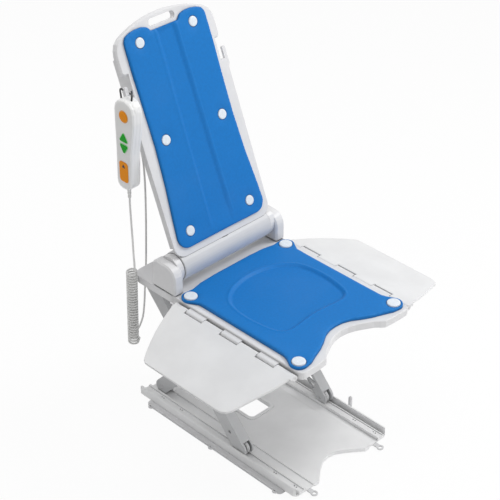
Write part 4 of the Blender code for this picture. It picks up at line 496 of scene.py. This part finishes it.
# %% Measure along and away from an outline
def even_loop(points, step):
    """Return points an even step apart along a closed outline."""
    loop = [Vector(point) for point in points]
    loop.append(loop[0])
    length = sum((after - here).length for here, after in zip(loop, loop[1:]))
    count = round(length / step)
    even = []
    walked = 0.0
    for here, after in zip(loop, loop[1:]):
        reach = (after - here).length
        while len(even) < count and walked + reach >= length * len(even) / count:
            even.append(here.lerp(after, (length * len(even) / count - walked) / max(reach, 1e-9)))
        walked += reach
    return even


def distances(points, outline):
    """Return each point's distance to a closed outline, above 0 inside it."""
    spots = np.array([tuple(point) for point in points])
    starts = np.array([tuple(point) for point in outline])
    ends = np.roll(starts, -1, axis=0)
    along = ends - starts
    away = spots[:, None, :] - starts[None, :, :]
    share = np.clip((away * along).sum(2) / np.maximum((along * along).sum(1), 1e-12), 0.0, 1.0)
    near = np.hypot(*np.moveaxis(away - share[:, :, None] * along, 2, 0)).min(1)
    above = (starts[:, 1] > spots[:, None, 1]) != (ends[:, 1] > spots[:, None, 1])
    rise = np.where(along[:, 1] == 0.0, 1e-12, along[:, 1])
    cross = starts[:, 0] + (spots[:, None, 1] - starts[:, 1]) * along[:, 0] / rise
    inside = (above & (spots[:, None, 0] < cross)).sum(1) % 2 == 1
    return np.where(inside, near, -near)


def from_buttons(point, buttons):
    """Return how far a point lies outside the nearest button; inside one it is below 0."""
    return min(math.hypot(point.x - u, point.y - v) - radius for u, v, radius in buttons)


def offset_loop(outline, distance):
    """Return an outline moved inward by a distance; it runs anticlockwise."""
    moved = []
    befores = outline[-1:] + outline[:-1]
    afters = outline[1:] + outline[:1]
    for before, here, after in zip(befores, outline, afters):
        way = (after - before).normalized()
        moved.append(here + Vector((-way.y, way.x)) * distance)
    return moved


# %% [markdown]
# Rows of points make the edge. Foam is cut with a blade and its skin rolls over the edge in a
# small radius, so three rows follow the outline just inside it and carry that roll. The same rows
# follow each button hole. Eight rows across a pressed line keep its slope crisp, and everywhere
# else a loose grid is enough.

# %% Points of a pad
PAD_STEP = 0.0048
EDGE_ROWS = (0.0006, 0.0016, 0.0034)
PRESSED_ROWS = (-0.0065, -0.0048, -0.0032, -0.0016, 0.001, 0.004, 0.007, 0.010)
PRESSED_STEP = 0.7 * PAD_STEP
GRID_RISE = 0.87
NEAREST = 0.0007
EDGE_MARGIN = 0.0005


def grid_points(low, high):
    """Return an even grid of points whose every second row is moved half a step along."""
    points = []
    for row in range(int((high.y - low.y) / (GRID_RISE * PAD_STEP)) + 1):
        start = low.x + (row % 2) * PAD_STEP / 2
        count = int((high.x - start) / PAD_STEP) + 1
        points += [Vector((start + PAD_STEP * i, low.y + GRID_RISE * PAD_STEP * row))
                   for i in range(count)]
    return points


def pad_points(outline, buttons, pressed):
    """Return the flat points of a pad, and the edges that its mesh has to keep."""
    loops = [even_loop(outline, PAD_STEP)]
    for u, v, radius in buttons:
        loops.append([Vector(point) for point in ring((u, v), radius + PAD_GAP, steps=28)][::-1])
    edges = []
    points = []
    for loop in loops:
        first = len(points)
        points += loop
        edges += [(first + i, first + (i + 1) % len(loop)) for i in range(len(loop))]
    rows = []
    for loop in loops:
        rows += [point for reach in EDGE_ROWS for point in offset_loop(loop, reach)]
    pressed_loop = even_loop(pressed, PRESSED_STEP)
    for reach in PRESSED_ROWS:
        rows += offset_loop(pressed_loop, reach)
    rows += grid_points(Vector((min(p.x for p in points), min(p.y for p in points))),
                        Vector((max(p.x for p in points), max(p.y for p in points))))
    far = distances(rows, loops[0])
    for loop in loops[1:]:
        far = np.minimum(far, -distances(rows, loop))
    spaced = {}
    for point in (point for point, room in zip(rows, far) if room > EDGE_MARGIN):
        spaced.setdefault((round(point.x / NEAREST), round(point.y / NEAREST)), point)
    return points + list(spaced.values()), edges


# %% [markdown]
# A constrained triangulation joins the points and keeps the outline and the holes. The same
# triangles serve twice: once raised, with the edge rolled, and once as the flat foot.

# %% Mesh a pad
EDGE_ROLL = 0.0020
INSIDE_ONLY = 1
MERGE_WITHIN = 1e-6


def mesh_of(shape, name):
    """Turn a shape that is being edited into a finished mesh."""
    mesh = bpy.data.meshes.new(name)
    shape.to_mesh(mesh)
    shape.free()
    return mesh


def rolled_heights(flat, outline, buttons, thickness):
    """Return the height of a pad's upper side at each point, rolled over near every edge."""
    edge = np.minimum(distances(flat, even_loop(outline, PAD_STEP)),
                      [from_buttons(point, buttons) - PAD_GAP for point in flat])
    left = EDGE_ROLL - np.clip(edge, 0.0, EDGE_ROLL)
    return thickness - EDGE_ROLL + np.sqrt(np.maximum(EDGE_ROLL ** 2 - left ** 2, 0.0))


def close_sides(shape, top, foot):
    """Join the raised points to the foot along every open edge."""
    shape.verts.index_update()
    sides = []
    for line in shape.edges:
        if line.is_boundary and line.verts[0].index < len(top):
            loop = line.link_loops[0]
            sides.append((loop.vert.index, loop.link_loop_next.vert.index))
    for a, b in sides:
        shape.faces.new((top[b], top[a], foot[a], foot[b]))


def pad_mesh(name, outline, buttons, pressed, thickness, plane):
    """Mesh a pad: a rolled upper side, upright edges and a flat foot."""
    points, edges = pad_points(outline, buttons, pressed)
    flat, _, faces, *_ = delaunay_2d_cdt(points, edges, [], INSIDE_ONLY, MERGE_WITHIN)
    middles = [sum((flat[i] for i in face), Vector((0.0, 0.0))) / 3 for face in faces]
    faces = [face for face, middle in zip(faces, middles) if from_buttons(middle, buttons) >= 0.0]
    heights = rolled_heights(flat, outline, buttons, thickness)
    shape = bmesh.new()
    top = [shape.verts.new((p.x, p.y, h)) for p, h in zip(flat, heights)]
    foot = [shape.verts.new((p.x, p.y, 0.0)) for p in flat]
    for a, b, c in faces:
        shape.faces.new((top[a], top[b], top[c]))
        shape.faces.new((foot[c], foot[b], foot[a]))
    close_sides(shape, top, foot)
    loose = [vertex for vertex in shape.verts if not vertex.link_faces]
    bmesh.ops.delete(shape, geom=loose, context="VERTS")
    shape.transform(plane)
    mesh = mesh_of(shape, name)
    print(name, "has", len(mesh.vertices), "points")
    return mesh


# %% Link a new piece, and apply its modifiers
def new_piece(name, shape, material, body):
    """Link a mesh or a curve as a piece that moves with one body of the lift."""
    piece = bpy.data.objects.new(name, shape)
    bpy.context.scene.collection.objects.link(piece)
    dress(piece, material)
    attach(piece, body)
    return piece


def applied(piece):
    """Return a new mesh of a piece with its modifiers applied."""
    graph = bpy.context.evaluated_depsgraph_get()
    mesh = bpy.data.meshes.new_from_object(piece.evaluated_get(graph))
    piece.modifiers.clear()
    return mesh


# %% [markdown]
# Cloth needs a few points that may not move. Here they are the foot of the pad and a ring round
# every button, which is where the real foam is held. The pressure would swell a real cushion by
# centimetres, but this foam is dense, so each point's travel is capped at about a millimetre.

# %% Swell the foam
FOOT_HEIGHT = 0.0022
HELD_RING = 0.004
SWELL_PRESSURE = 4.0
SWELL_FRAMES = 20
SWELL_CAP = 0.0011


def is_held(place, buttons):
    """Say whether the foot or a button holds a point of the pad."""
    return place.z < FOOT_HEIGHT or from_buttons(place, buttons) < HELD_RING


def swell(pad, plane, buttons):
    """Blow a pad up as cloth, and cap how far each point goes."""
    to_pad = plane.inverted()
    before = [vertex.co.copy() for vertex in pad.data.vertices]
    fixed = [i for i, co in enumerate(before) if is_held(to_pad @ co, buttons)]
    pad.vertex_groups.new(name="held").add(fixed, 1.0, "REPLACE")
    settings = pad.modifiers.new("swell", "CLOTH").settings
    settings.vertex_group_mass = "held"
    settings.use_pressure = True
    settings.uniform_pressure_force = SWELL_PRESSURE
    settings.effector_weights.gravity = 0.0
    for number in range(1, SWELL_FRAMES + 1):
        bpy.context.scene.frame_set(number)
    blown = applied(pad)
    farthest = 0.0
    for vertex, start, end in zip(pad.data.vertices, before, blown.vertices):
        travel = end.co - start
        farthest = max(farthest, travel.length)
        if travel.length > SWELL_CAP:
            travel *= SWELL_CAP / travel.length
        vertex.co = start + travel
    pad.vertex_groups.clear()
    bpy.data.meshes.remove(blown)
    bpy.context.scene.frame_set(1)
    print(pad.name, "swells by up to", round(1000 * farthest, 2), "mm before the cap")


# %% [markdown]
# The mould presses the pads: a sunk sitting area, a trough up the middle of the back, and a dip
# round each button. Each sunk shape has a low raised lip outside it, where the foam was pushed up.
# Only the upper side moves, and the foot stays on the plastic.

# %% Press the mould's shapes in
SITTING_DEPTH = 0.0050
TROUGH_DEPTH = 0.0040
LIP_WIDTH = 0.0022
BUTTON_DIP = 0.0007
DIP_REACH = 0.010


def slope(value, low, high):
    """Return 0 below low and 1 above high, with a smooth step between."""
    share = np.clip((value - low) / (high - low), 0.0, 1.0)
    return share * share * (3 - 2 * share)


def lip(inside, height, beyond):
    """Return a low ridge that runs a little way outside a pressed line."""
    return height * np.exp(-((inside + beyond) / LIP_WIDTH) ** 2)


def sitting_relief(flat):
    """Return how deep the seat's sunk area lies at each point, with its raised lip."""
    inside = distances(flat, sitting_area)
    return SITTING_DEPTH * slope(inside, -0.002, 0.0075) - lip(inside, 0.0009, 0.0036)


def trough_relief(flat):
    """Return how deep the back's trough lies at each point; it fades out at its lower end."""
    inside = distances(flat, back_trough)
    ends = slope(np.array([point[1] for point in flat]), 0.038, 0.110)
    return ends * (TROUGH_DEPTH * slope(inside, -0.001, 0.0100) - lip(inside, 0.0008, 0.0032))


def press(pad, plane, thickness, buttons, relief):
    """Lower the pad's upper side by the mould's relief and keep its foot on the plastic."""
    to_pad = plane.inverted()
    places = [to_pad @ vertex.co for vertex in pad.data.vertices]
    near = np.array([from_buttons(place, buttons) for place in places])
    depths = relief([(place.x, place.y) for place in places])
    depths += BUTTON_DIP * (1.0 - slope(near, 0.0, DIP_REACH))
    for vertex, place, depth in zip(pad.data.vertices, places, depths):
        share = float(slope(place.z, 0.35 * thickness, 0.85 * thickness))
        place.z = max(0.0, place.z - share * float(depth))
        vertex.co = plane @ place


# %% Make both pads
SEAT_THICKNESS = 0.0077
BACK_THICKNESS = 0.0057


def crisp(mesh, degrees):
    """Shade a mesh smooth, apart from its edges that turn by more than an angle."""
    mesh.shade_smooth()
    mesh.set_sharp_from_angle(angle=math.radians(degrees))


def foam_pad(name, body, plane, thickness, outline, buttons, pressed, relief):
    """Make a whole foam pad that stands for a packed one."""
    mesh = pad_mesh(name + "_foam", outline, buttons, pressed, thickness, plane)
    pad = new_piece(name + "_foam", mesh, PAD_FOAM, body)
    swell(pad, plane, buttons)
    press(pad, plane, thickness, buttons, relief)
    crisp(pad.data, 50)
    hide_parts(name)


foam_pad("seat_pad", "seat", seat_plane, SEAT_THICKNESS, seat_outline, seat_buttons,
         sitting_area, sitting_relief)
foam_pad("backrest_pad", "backrest", back_plane, BACK_THICKNESS, back_outline, back_buttons,
         back_trough, trough_relief)
print("pads made")

# %% [markdown]
# ## Small turned pieces
#
# Buttons, screw heads and pivot caps are all turned shapes: a profile goes once round an axis. One
# helper spins a profile, and each piece below only lists its radii and heights. Spinning gives
# clean rings that shade well, which a scaled cylinder does not.

# %% Spin a profile
def bridge(shape, lower, upper):
    """Join two rings of points by faces; a ring of one point makes a tip."""
    for step in range(max(len(lower), len(upper))):
        corners = [lower[step % len(lower)], lower[(step + 1) % len(lower)],
                   upper[(step + 1) % len(upper)], upper[step % len(upper)]]
        shape.faces.new(list(dict.fromkeys(corners)))


def spun(name, profile, plane, material, body, sides=32):
    """Spin (radius, height) steps about a plane's own upward axis."""
    shape = bmesh.new()
    rings = []
    for radius, height in profile:
        spots = ring((0.0, 0.0), radius, steps=sides) if radius else [(0.0, 0.0)]
        rings.append([shape.verts.new((*spot, height)) for spot in spots])
    for lower, upper in zip(rings, rings[1:]):
        bridge(shape, lower, upper)
    bmesh.ops.recalc_face_normals(shape, faces=shape.faces)
    shape.transform(plane)
    mesh = mesh_of(shape, name)
    crisp(mesh, 35)
    new_piece(name, mesh, material, body)


# %% [markdown]
# The pads' buttons are shallow domes with a rolled rim and a small sunk middle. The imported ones
# keep their size, and these covers add the rolled rim and the dished top over them.

# %% Covers for the pads' buttons
def button_cover(radius, low, high):
    """Return the profile of a dished button that fits closely over a packed one."""
    skin = 0.0002
    return [(radius + skin, low), (radius + skin, high - 0.0017), (radius - 0.0006, high - 0.0004),
            (radius - 0.0022, high + skin), (0.55 * radius, high + skin),
            (0.42 * radius, high + 0.4 * skin), (0.0, high + 0.3 * skin)]


PAD_LABELS = ("left_rear", "left_front", "right_rear", "right_front")
for label, (u, v, radius) in zip(PAD_LABELS, seat_buttons):
    place = seat_plane @ Matrix.Translation((u, v, 0.0))
    spun("seat_button_cover_" + label, button_cover(radius, 0.004, 0.0099), place, PAD_BUTTON,
         "seat")
for number, (u, v, radius) in enumerate(back_buttons, 1):
    place = back_plane @ Matrix.Translation((u, v, 0.0))
    spun("back_button_cover_%d" % number, button_cover(radius, 0.003, 0.0069), place, PAD_BUTTON,
         "backrest")
print("button covers made")

# %% [markdown]
# ## The curly cord
#
# One cord runs from the handset to the drive: a straight lead, a long spring of small turns that
# hangs beside the seat, and a return run up the back to the plug. The real cord is a limp
# five-millimetre vinyl cord wound on a rod and heated. Its route is worked out in the same way as
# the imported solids: a smooth curve through a few points for the straight runs, and a helix for
# the spring.

# %% The spring
CORD_DIAMETER = 0.005
COIL_RADIUS = 0.0120
COIL_TURNS = 28
COIL_PITCH = 0.0078
COIL_X = -0.2060
COIL_TOP_Y = 0.2461
COIL_TOP_Z = 0.4305
COIL_LEAN = 0.0295
TURN_POINTS = 14
ENTRY_RISE = 0.012
ENTRY_STEPS = 8


def coil_point(angle, height):
    """Return a point of the spring's middle line, which leans back a little going down."""
    middle_y = COIL_TOP_Y + COIL_LEAN * (COIL_TOP_Z - height)
    return Vector((COIL_X + COIL_RADIUS * math.cos(angle),
                   middle_y + COIL_RADIUS * math.sin(angle), height))


def coil_route():
    """Return the spring's points from the lead down to the start of the return run."""
    start = Vector((COIL_X, COIL_TOP_Y - COIL_RADIUS, COIL_TOP_Z + ENTRY_RISE))
    points = [start + Vector((0.0, 0.0, height)) for height in (0.0055, 0.003)]
    for step in range(ENTRY_STEPS):
        share = step / ENTRY_STEPS
        angle = -math.pi / 2 + math.pi / 2 * share ** 2
        points.append(coil_point(angle, COIL_TOP_Z + ENTRY_RISE * (1 - share) ** 2))
    for step in range(TURN_POINTS * COIL_TURNS - 1):
        angle = math.tau * step / TURN_POINTS
        points.append(coil_point(angle, COIL_TOP_Z - COIL_PITCH * step / TURN_POINTS))
    way = (points[-1] - points[-2]).normalized()
    out = Vector((-math.sin(angle), math.cos(angle), way.z)).normalized()
    return points + [points[-1] + out * reach for reach in (0.003, 0.0085)]


coil = coil_route()
print("spring points:", len(coil))


# %% The whole route: the lead, the spring and the return run
LEAD_STEP = 0.009
RETURN_STEP = 0.011
SPLITS = 20


def smooth_route(points, step):
    """Return points about a step apart on a smooth curve through a route's own points."""
    knots = [Vector(point) for point in points]
    knots = [2 * knots[0] - knots[1]] + knots + [2 * knots[-1] - knots[-2]]
    dense = []
    for index in range(1, len(knots) - 2):
        a, b, c, d = knots[index - 1:index + 3]
        for part in range(SPLITS):
            t = part / SPLITS
            dense.append(0.5 * (2 * b + (c - a) * t + (2 * a - 5 * b + 4 * c - d) * t ** 2
                                + (3 * b - a - 3 * c + d) * t ** 3))
    dense.append(knots[-2])
    route = [dense[0]]
    for point in dense:
        if (point - route[-1]).length >= step:
            route.append(point)
    if (dense[-1] - route[-1]).length < 0.4 * step:
        route.pop()
    return route + [dense[-1]]


def on_back(x, back, height):
    """Return a point given across, behind and above the back's hinge, before the shift."""
    return Vector((x, HINGE_Y + back * math.cos(BACK_TILT) + height * math.sin(BACK_TILT),
                   HINGE_Z - back * math.sin(BACK_TILT) + height * math.cos(BACK_TILT)))


lead = smooth_route([
    (-0.1828, 0.26775, 0.6214), (-0.1838, 0.26675, 0.600), (-0.1850, 0.2640, 0.560),
    (-0.1925, 0.2530, 0.515), (-0.2030, 0.2390, 0.476), (coil[0].x, coil[0].y, coil[0].z + 0.012),
    coil[0] + Vector((0.0, 0.0, 0.0003))], LEAD_STEP)
way = (coil[-1] - coil[-2]).normalized()
plug_end = on_back(-0.0863, 0.040, 0.446)
back_run = smooth_route([
    *(coil[-1] + way * reach for reach in (0.0003, 0.0063, 0.0113)),
    (-0.1775, 0.2680, 0.2055), (-0.1735, 0.2800, 0.2045), (-0.1640, 0.2885, 0.2060),
    (-0.1530, 0.2905, 0.2130), (-0.1405, 0.2900, 0.2381), (-0.1337, 0.2900, 0.2770),
    (-0.1293, 0.2900, 0.3241), (-0.1225, 0.2900, 0.3939), (-0.1160, 0.2900, 0.5339),
    (-0.1146, 0.2905, 0.6446), (-0.1140, 0.2990, 0.7100), (-0.1150, 0.3220, 0.7800),
    (-0.1120, 0.3450, 0.8300), plug_end + Vector((-0.020, -0.002, -0.008)),
    plug_end + Vector((-0.012, 0.0, 0.0)), plug_end + Vector((-0.006, 0.0, 0.0)), plug_end],
    RETURN_STEP)
route = [point + Vector((0.0, SHIFT, 0.0)) for point in lead[:-1] + coil + back_run[1:]]
cord_length = sum((after - before).length for before, after in zip(route, route[1:]))
print("cord length, m:", round(cord_length, 3), "from", len(route), "points")

# %% [markdown]
# A curve object with a round bevel is the right tool for a cord: its own line stays the exact
# length, and the jacket follows with a true round section.

# %% Draw the cord
def strand(name, route, diameter, material):
    """Draw a round strand along a route; it moves with the backrest."""
    line = bpy.data.curves.new(name, "CURVE")
    line.dimensions = "3D"
    line.bevel_depth = diameter / 2
    line.bevel_resolution = 3
    line.use_fill_caps = True
    spline = line.splines.new("POLY")
    spline.points.add(len(route) - 1)
    for point, place in zip(spline.points, route):
        point.co = (*place, 1.0)
    spline.use_smooth = True
    return new_piece(name, line, material, "backrest")


cord = strand("handset_cord", route, CORD_DIAMETER, CORD_VINYL)
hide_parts("cord_lead", "curly_cord", "return_cord")
print("cord drawn")

# %% [markdown]
# ## The handset's details
#
# The handset is two moulded shells that meet at a soft waist, with the keys in pale surrounds and
# a black loop at the top that hangs it on the hook. Extruding the outline would give the waist
# hard edges, so its section is drawn as a few steps of width and inset, and run round the outline.

# %% The handset's outline
GRIP_FACE = -0.2000
GRIP_Y = 0.2625 + SHIFT
GRIP_CORNERS = [(-0.01925, 0.652, 0.020), (0.02975, 0.652, 0.020), (0.02705, 0.757, 0.080),
                (0.02775, 0.837, 0.060), (0.02675, 0.892, 0.028), (-0.03725, 0.892, 0.028),
                (-0.03825, 0.837, 0.060), (-0.02495, 0.757, 0.080)]


def soft_corners(corners, steps=8):
    """Return a closed outline whose corners (across, up, radius) are rounded by arcs."""
    outline = []
    for index, (across, up, radius) in enumerate(corners):
        here = Vector((across, up))
        before = (Vector(corners[index - 1][:2]) - here).normalized()
        after = (Vector(corners[(index + 1) % len(corners)][:2]) - here).normalized()
        half = before.angle(after) / 2
        middle = here + (before + after).normalized() * (radius / math.sin(half))
        first = here + before * (radius / math.tan(half)) - middle
        sweep = first.angle_signed(here + after * (radius / math.tan(half)) - middle)
        for step in range(steps + 1):
            spoke = first.copy()
            spoke.rotate(Matrix.Rotation(-sweep * step / steps, 2))
            outline.append(middle + spoke)
    return outline


def run_round(shape, outline, section):
    """Run (x, inset) steps round an outline in Y and Z, and return the rings of points."""
    rings = []
    for across, inset in section:
        moved = offset_loop(outline, inset)
        rings.append([shape.verts.new((across, point.x, point.y)) for point in moved])
    for lower, upper in zip(rings, rings[1:]):
        bridge(shape, lower, upper)
    return rings


grip = [Vector((GRIP_Y, 0.0)) + point for point in soft_corners(GRIP_CORNERS)]
print("handset outline points:", len(grip))

# %% The soft waist between the two shells
WAIST = [(-0.1892, 0.0012), (-0.1889, 0.0004), (-0.1880, 0.0001), (-0.1776, 0.0001),
         (-0.1767, 0.0004), (-0.1764, 0.0012), (-0.1800, 0.0020), (-0.1856, 0.0020)]

band = bmesh.new()
rings = run_round(band, even_loop(grip, 0.003), WAIST)
bridge(band, rings[-1], rings[0])
bmesh.ops.recalc_face_normals(band, faces=band.faces)
waist = mesh_of(band, "handset_waist")
crisp(waist, 50)
new_piece("handset_waist", waist, HANDSET_PLASTIC, "backrest")
print("waist faces:", len(waist.polygons))


# %% Surrounds of the keys
RIM_FOOT = GRIP_FACE + 0.0004
RIM_TOP = GRIP_FACE - 0.0005


def thin_plate(name, outline, foot, top, material):
    """Make a thin plate with a rounded rim on the handset's face."""
    lift = (top - foot) * 0.4
    shape = bmesh.new()
    rings = run_round(shape, outline, [(foot, 0.0), (top - lift, 0.0), (top, abs(lift))])
    shape.faces.new(rings[0])
    shape.faces.new(rings[-1])
    bmesh.ops.recalc_face_normals(shape, faces=shape.faces)
    new_piece(name, mesh_of(shape, name), material, "backrest")


def arrow(middle, upward, half, rise, radius):
    """Return a rounded triangle that points up or down."""
    sign = 1 if upward else -1
    corners = [(-half * sign, -rise * sign, radius), (half * sign, -rise * sign, radius),
               (0.0, rise * sign, radius)]
    return [Vector((GRIP_Y, middle)) + point for point in soft_corners(corners, 4)]


for label, middle, upward in (("up", 0.7976, True), ("down", 0.7648, False)):
    key = arrow(middle, upward, 0.0190, 0.0145, 0.0050)
    thin_plate(label + "_key_surround", [point + Vector((-0.0045, 0.0)) for point in key],
               RIM_FOOT, RIM_TOP, PALE_GREEN)
round_rim = [Vector((GRIP_Y - 0.0076, 0.8523)) + Vector(point)
             for point in ring((0.0, 0.0), 0.0158, steps=36)]
thin_plate("round_key_surround", round_rim, RIM_FOOT, RIM_TOP, PALE_ORANGE)
thin_plate("panel_mark", arrow(0.7185, True, 0.0062, 0.0050, 0.0008), -0.2010, -0.2013,
           BLACK_PLASTIC)
print("key surrounds made")

# %% [markdown]
# The loop is a black moulded strand that starts in the top of the handset, goes through the hook's
# slot and comes back. It is drawn as the cord is, a little thinner.

# %% The handset's loop
LOOP_DIAMETER = 0.0044
LOOP_STEP = 0.004

loop_route = smooth_route([
    (-0.1828, 0.2790, 0.8780), (-0.1826, 0.2800, 0.8850), (-0.1805, 0.2840, 0.8930),
    (-0.1745, 0.2930, 0.8970), (-0.1660, 0.3010, 0.8950), (-0.1570, 0.3030, 0.8880),
    (-0.1495, 0.2980, 0.8810), (-0.1475, 0.2900, 0.8790), (-0.1500, 0.2820, 0.8840),
    (-0.1575, 0.2730, 0.8950), (-0.1670, 0.2610, 0.9010), (-0.1760, 0.2500, 0.8990),
    (-0.1815, 0.2450, 0.8910), (-0.1828, 0.2440, 0.8830), (-0.1828, 0.2440, 0.8770)],
    LOOP_STEP)
loop_route = [point + Vector((0.0, SHIFT, 0.0)) for point in loop_route]
hanging_loop = strand("hanging_loop", loop_route, LOOP_DIAMETER, BLACK_PLASTIC)
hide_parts("handset_loop")
print("loop points:", len(loop_route))

# %% [markdown]
# ## Screws and pivot caps
#
# Small fasteners tell the eye how big the lift is. Each one has to lie exactly on the piece that
# carries it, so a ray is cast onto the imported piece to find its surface, and the spun head is
# placed where the ray lands.

# %% Fasteners
HEAD_ROOT = 0.0010


def fastener(name, carrier, start, way, radius, proud, body="backrest", material=STEEL,
             beside=0.0):
    """Put a round socket head on a piece, where a ray lands; a bore is passed beside, along Y."""
    aside = Vector((0.0, beside, 0.0))
    found, point, _, _ = nodes[carrier].ray_cast(Vector(start) + aside, Vector(way))
    print(name, "lands on" if found else "misses", carrier)
    if not found:
        return
    turn = (-Vector(way)).to_track_quat("Z", "Y").to_matrix().to_4x4()
    profile = [(0.0, -HEAD_ROOT), (radius, -HEAD_ROOT), (radius, 0.5 * proud),
               (0.86 * radius, proud), (0.50 * radius, proud), (0.46 * radius, 0.3 * proud),
               (0.0, 0.3 * proud)]
    spun(name, profile, Matrix.Translation(point - aside) @ turn, material, body, sides=24)


box_corners = [(-0.0475, 0.4190), (0.0475, 0.4190), (-0.0475, 0.4725), (0.0475, 0.4725)]
bracket_ends = [(-0.044, 0.061), (0.044, 0.061)]
onto_back = back_frame.to_3x3() @ Vector((0.0, 0.0, 1.0))
for number, (u, v) in enumerate(box_corners, 1):
    fastener("drive_box_screw_%d" % number, "drive_box", back_frame @ Vector((u, v, -0.2)),
             onto_back, 0.0032, 0.0010)
for number, (u, v) in enumerate(bracket_ends, 1):
    fastener("bracket_screw_%d" % number, "lower_bracket", back_frame @ Vector((u, v, -0.2)),
             onto_back, 0.0035, 0.0012)
for number, height in enumerate((0.672, 0.868), 1):
    fastener("handset_screw_%d" % number, "handset_back", (0.0, GRIP_Y, height),
             (-1.0, 0.0, 0.0), 0.0026, 0.0004)
for label, side in (("left", -1.0), ("right", 1.0)):
    fastener("arm_pivot_cap_" + label, "scissor_arm_outer_" + label,
             (side * 0.3, 0.0380, 0.2085), (-side, 0.0, 0.0), 0.0105, 0.0010, "outer_arms",
             ARM_PLASTIC, beside=0.010)
print("fasteners placed")

# %% [markdown]
# ## The studio
#
# The picture is a product photograph: white all round, with one soft light high on the right, and
# enough fill that no side goes dark. The floor and the world are plain white to the camera, and in
# what metal and glass mirror. The floor keeps a faint shadow: its shader mixes a plain white
# surface with a plain glow, and Light Path says which rays may see the glow.

# %% Floor
WHITE = (1.0, 1.0, 1.0)
FLOOR_HALF = 60.0
FLOOR_DROP = 0.0005
FLOOR_GLOW = 0.93


def show(finish, dim, bright, share, output):
    """Let the camera and reflections see a share of a bright shader, and light a dim one."""
    seen = finish.add("LightPath", out="Is Camera Ray")
    for other in ("Is Glossy Ray", "Is Transmission Ray"):
        seen = seen + finish.add("LightPath", out=other)
    both = finish.add("MixShader", None, {0: seen.math("MINIMUM", 1.0) * share, 1: dim, 2: bright})
    finish.tree.links.new(both.socket, finish.tree.nodes[output].inputs["Surface"])


ground = Finish("studio_floor")
ground.set(Base_Color=shade(WHITE, 0.92), Roughness=0.9, Specular_IOR_Level=0.1)
glow = ground.add("Emission", None, {"Color": WHITE, "Strength": 1.0})
show(ground, Signal(ground, ground.shader.outputs[0]), glow, FLOOR_GLOW, "Material Output")

floor_shape = bmesh.new()
bmesh.ops.create_grid(floor_shape, x_segments=2, y_segments=2, size=FLOOR_HALF)
floor = bpy.data.objects.new("floor", mesh_of(floor_shape, "floor"))
floor.location = (0.0, 0.0, -FLOOR_DROP)
bpy.context.scene.collection.objects.link(floor)
dress(floor, ground.owner)
print("floor laid")

# %% World
SKY_STRENGTH = 0.42

world = bpy.data.worlds.new("studio")
bpy.context.scene.world = world
sky = Finish("studio", world)
sky.set(Color=WHITE, Strength=SKY_STRENGTH)
backdrop = sky.add("Background", None, {"Color": WHITE, "Strength": 1.0})
show(sky, Signal(sky, sky.shader.outputs[0]), backdrop, 1.0, "World Output")
print("world ready")


# %% Lamps
def soft_lamp(name, place, target, size, power):
    """Hang a square soft lamp that faces a point."""
    data = bpy.data.lights.new(name, "AREA")
    data.shape = "SQUARE"
    data.size = size
    data.energy = power
    lamp = bpy.data.objects.new(name, data)
    lamp.location = place
    lamp.rotation_euler = (Vector(target) - Vector(place)).to_track_quat("-Z", "Y").to_euler()
    bpy.context.scene.collection.objects.link(lamp)


MIDDLE = (0.0, 0.0, 0.45)
soft_lamp("key", (1.9, -0.9, 2.6), MIDDLE, 0.9, 37.0)
soft_lamp("top", (-0.2, 0.1, 3.2), MIDDLE, 1.6, 19.0)
soft_lamp("front_fill", (-0.6, -2.6, 1.3), MIDDLE, 1.8, 6.0)
soft_lamp("back_fill", (-0.6, 2.6, 1.8), MIDDLE, 1.6, 16.0)
soft_lamp("deck_fill", (0.3, -1.6, 0.9), (0.0, -0.15, 0.0), 0.8, 4.2)

# %% [markdown]
# ## Finish
#
# The dressed lift must stay inside the imported one's box. The view transform is Standard: it
# shows a colour as it is written.

# %% View and finish
bpy.context.scene.view_settings.view_transform = "Standard"
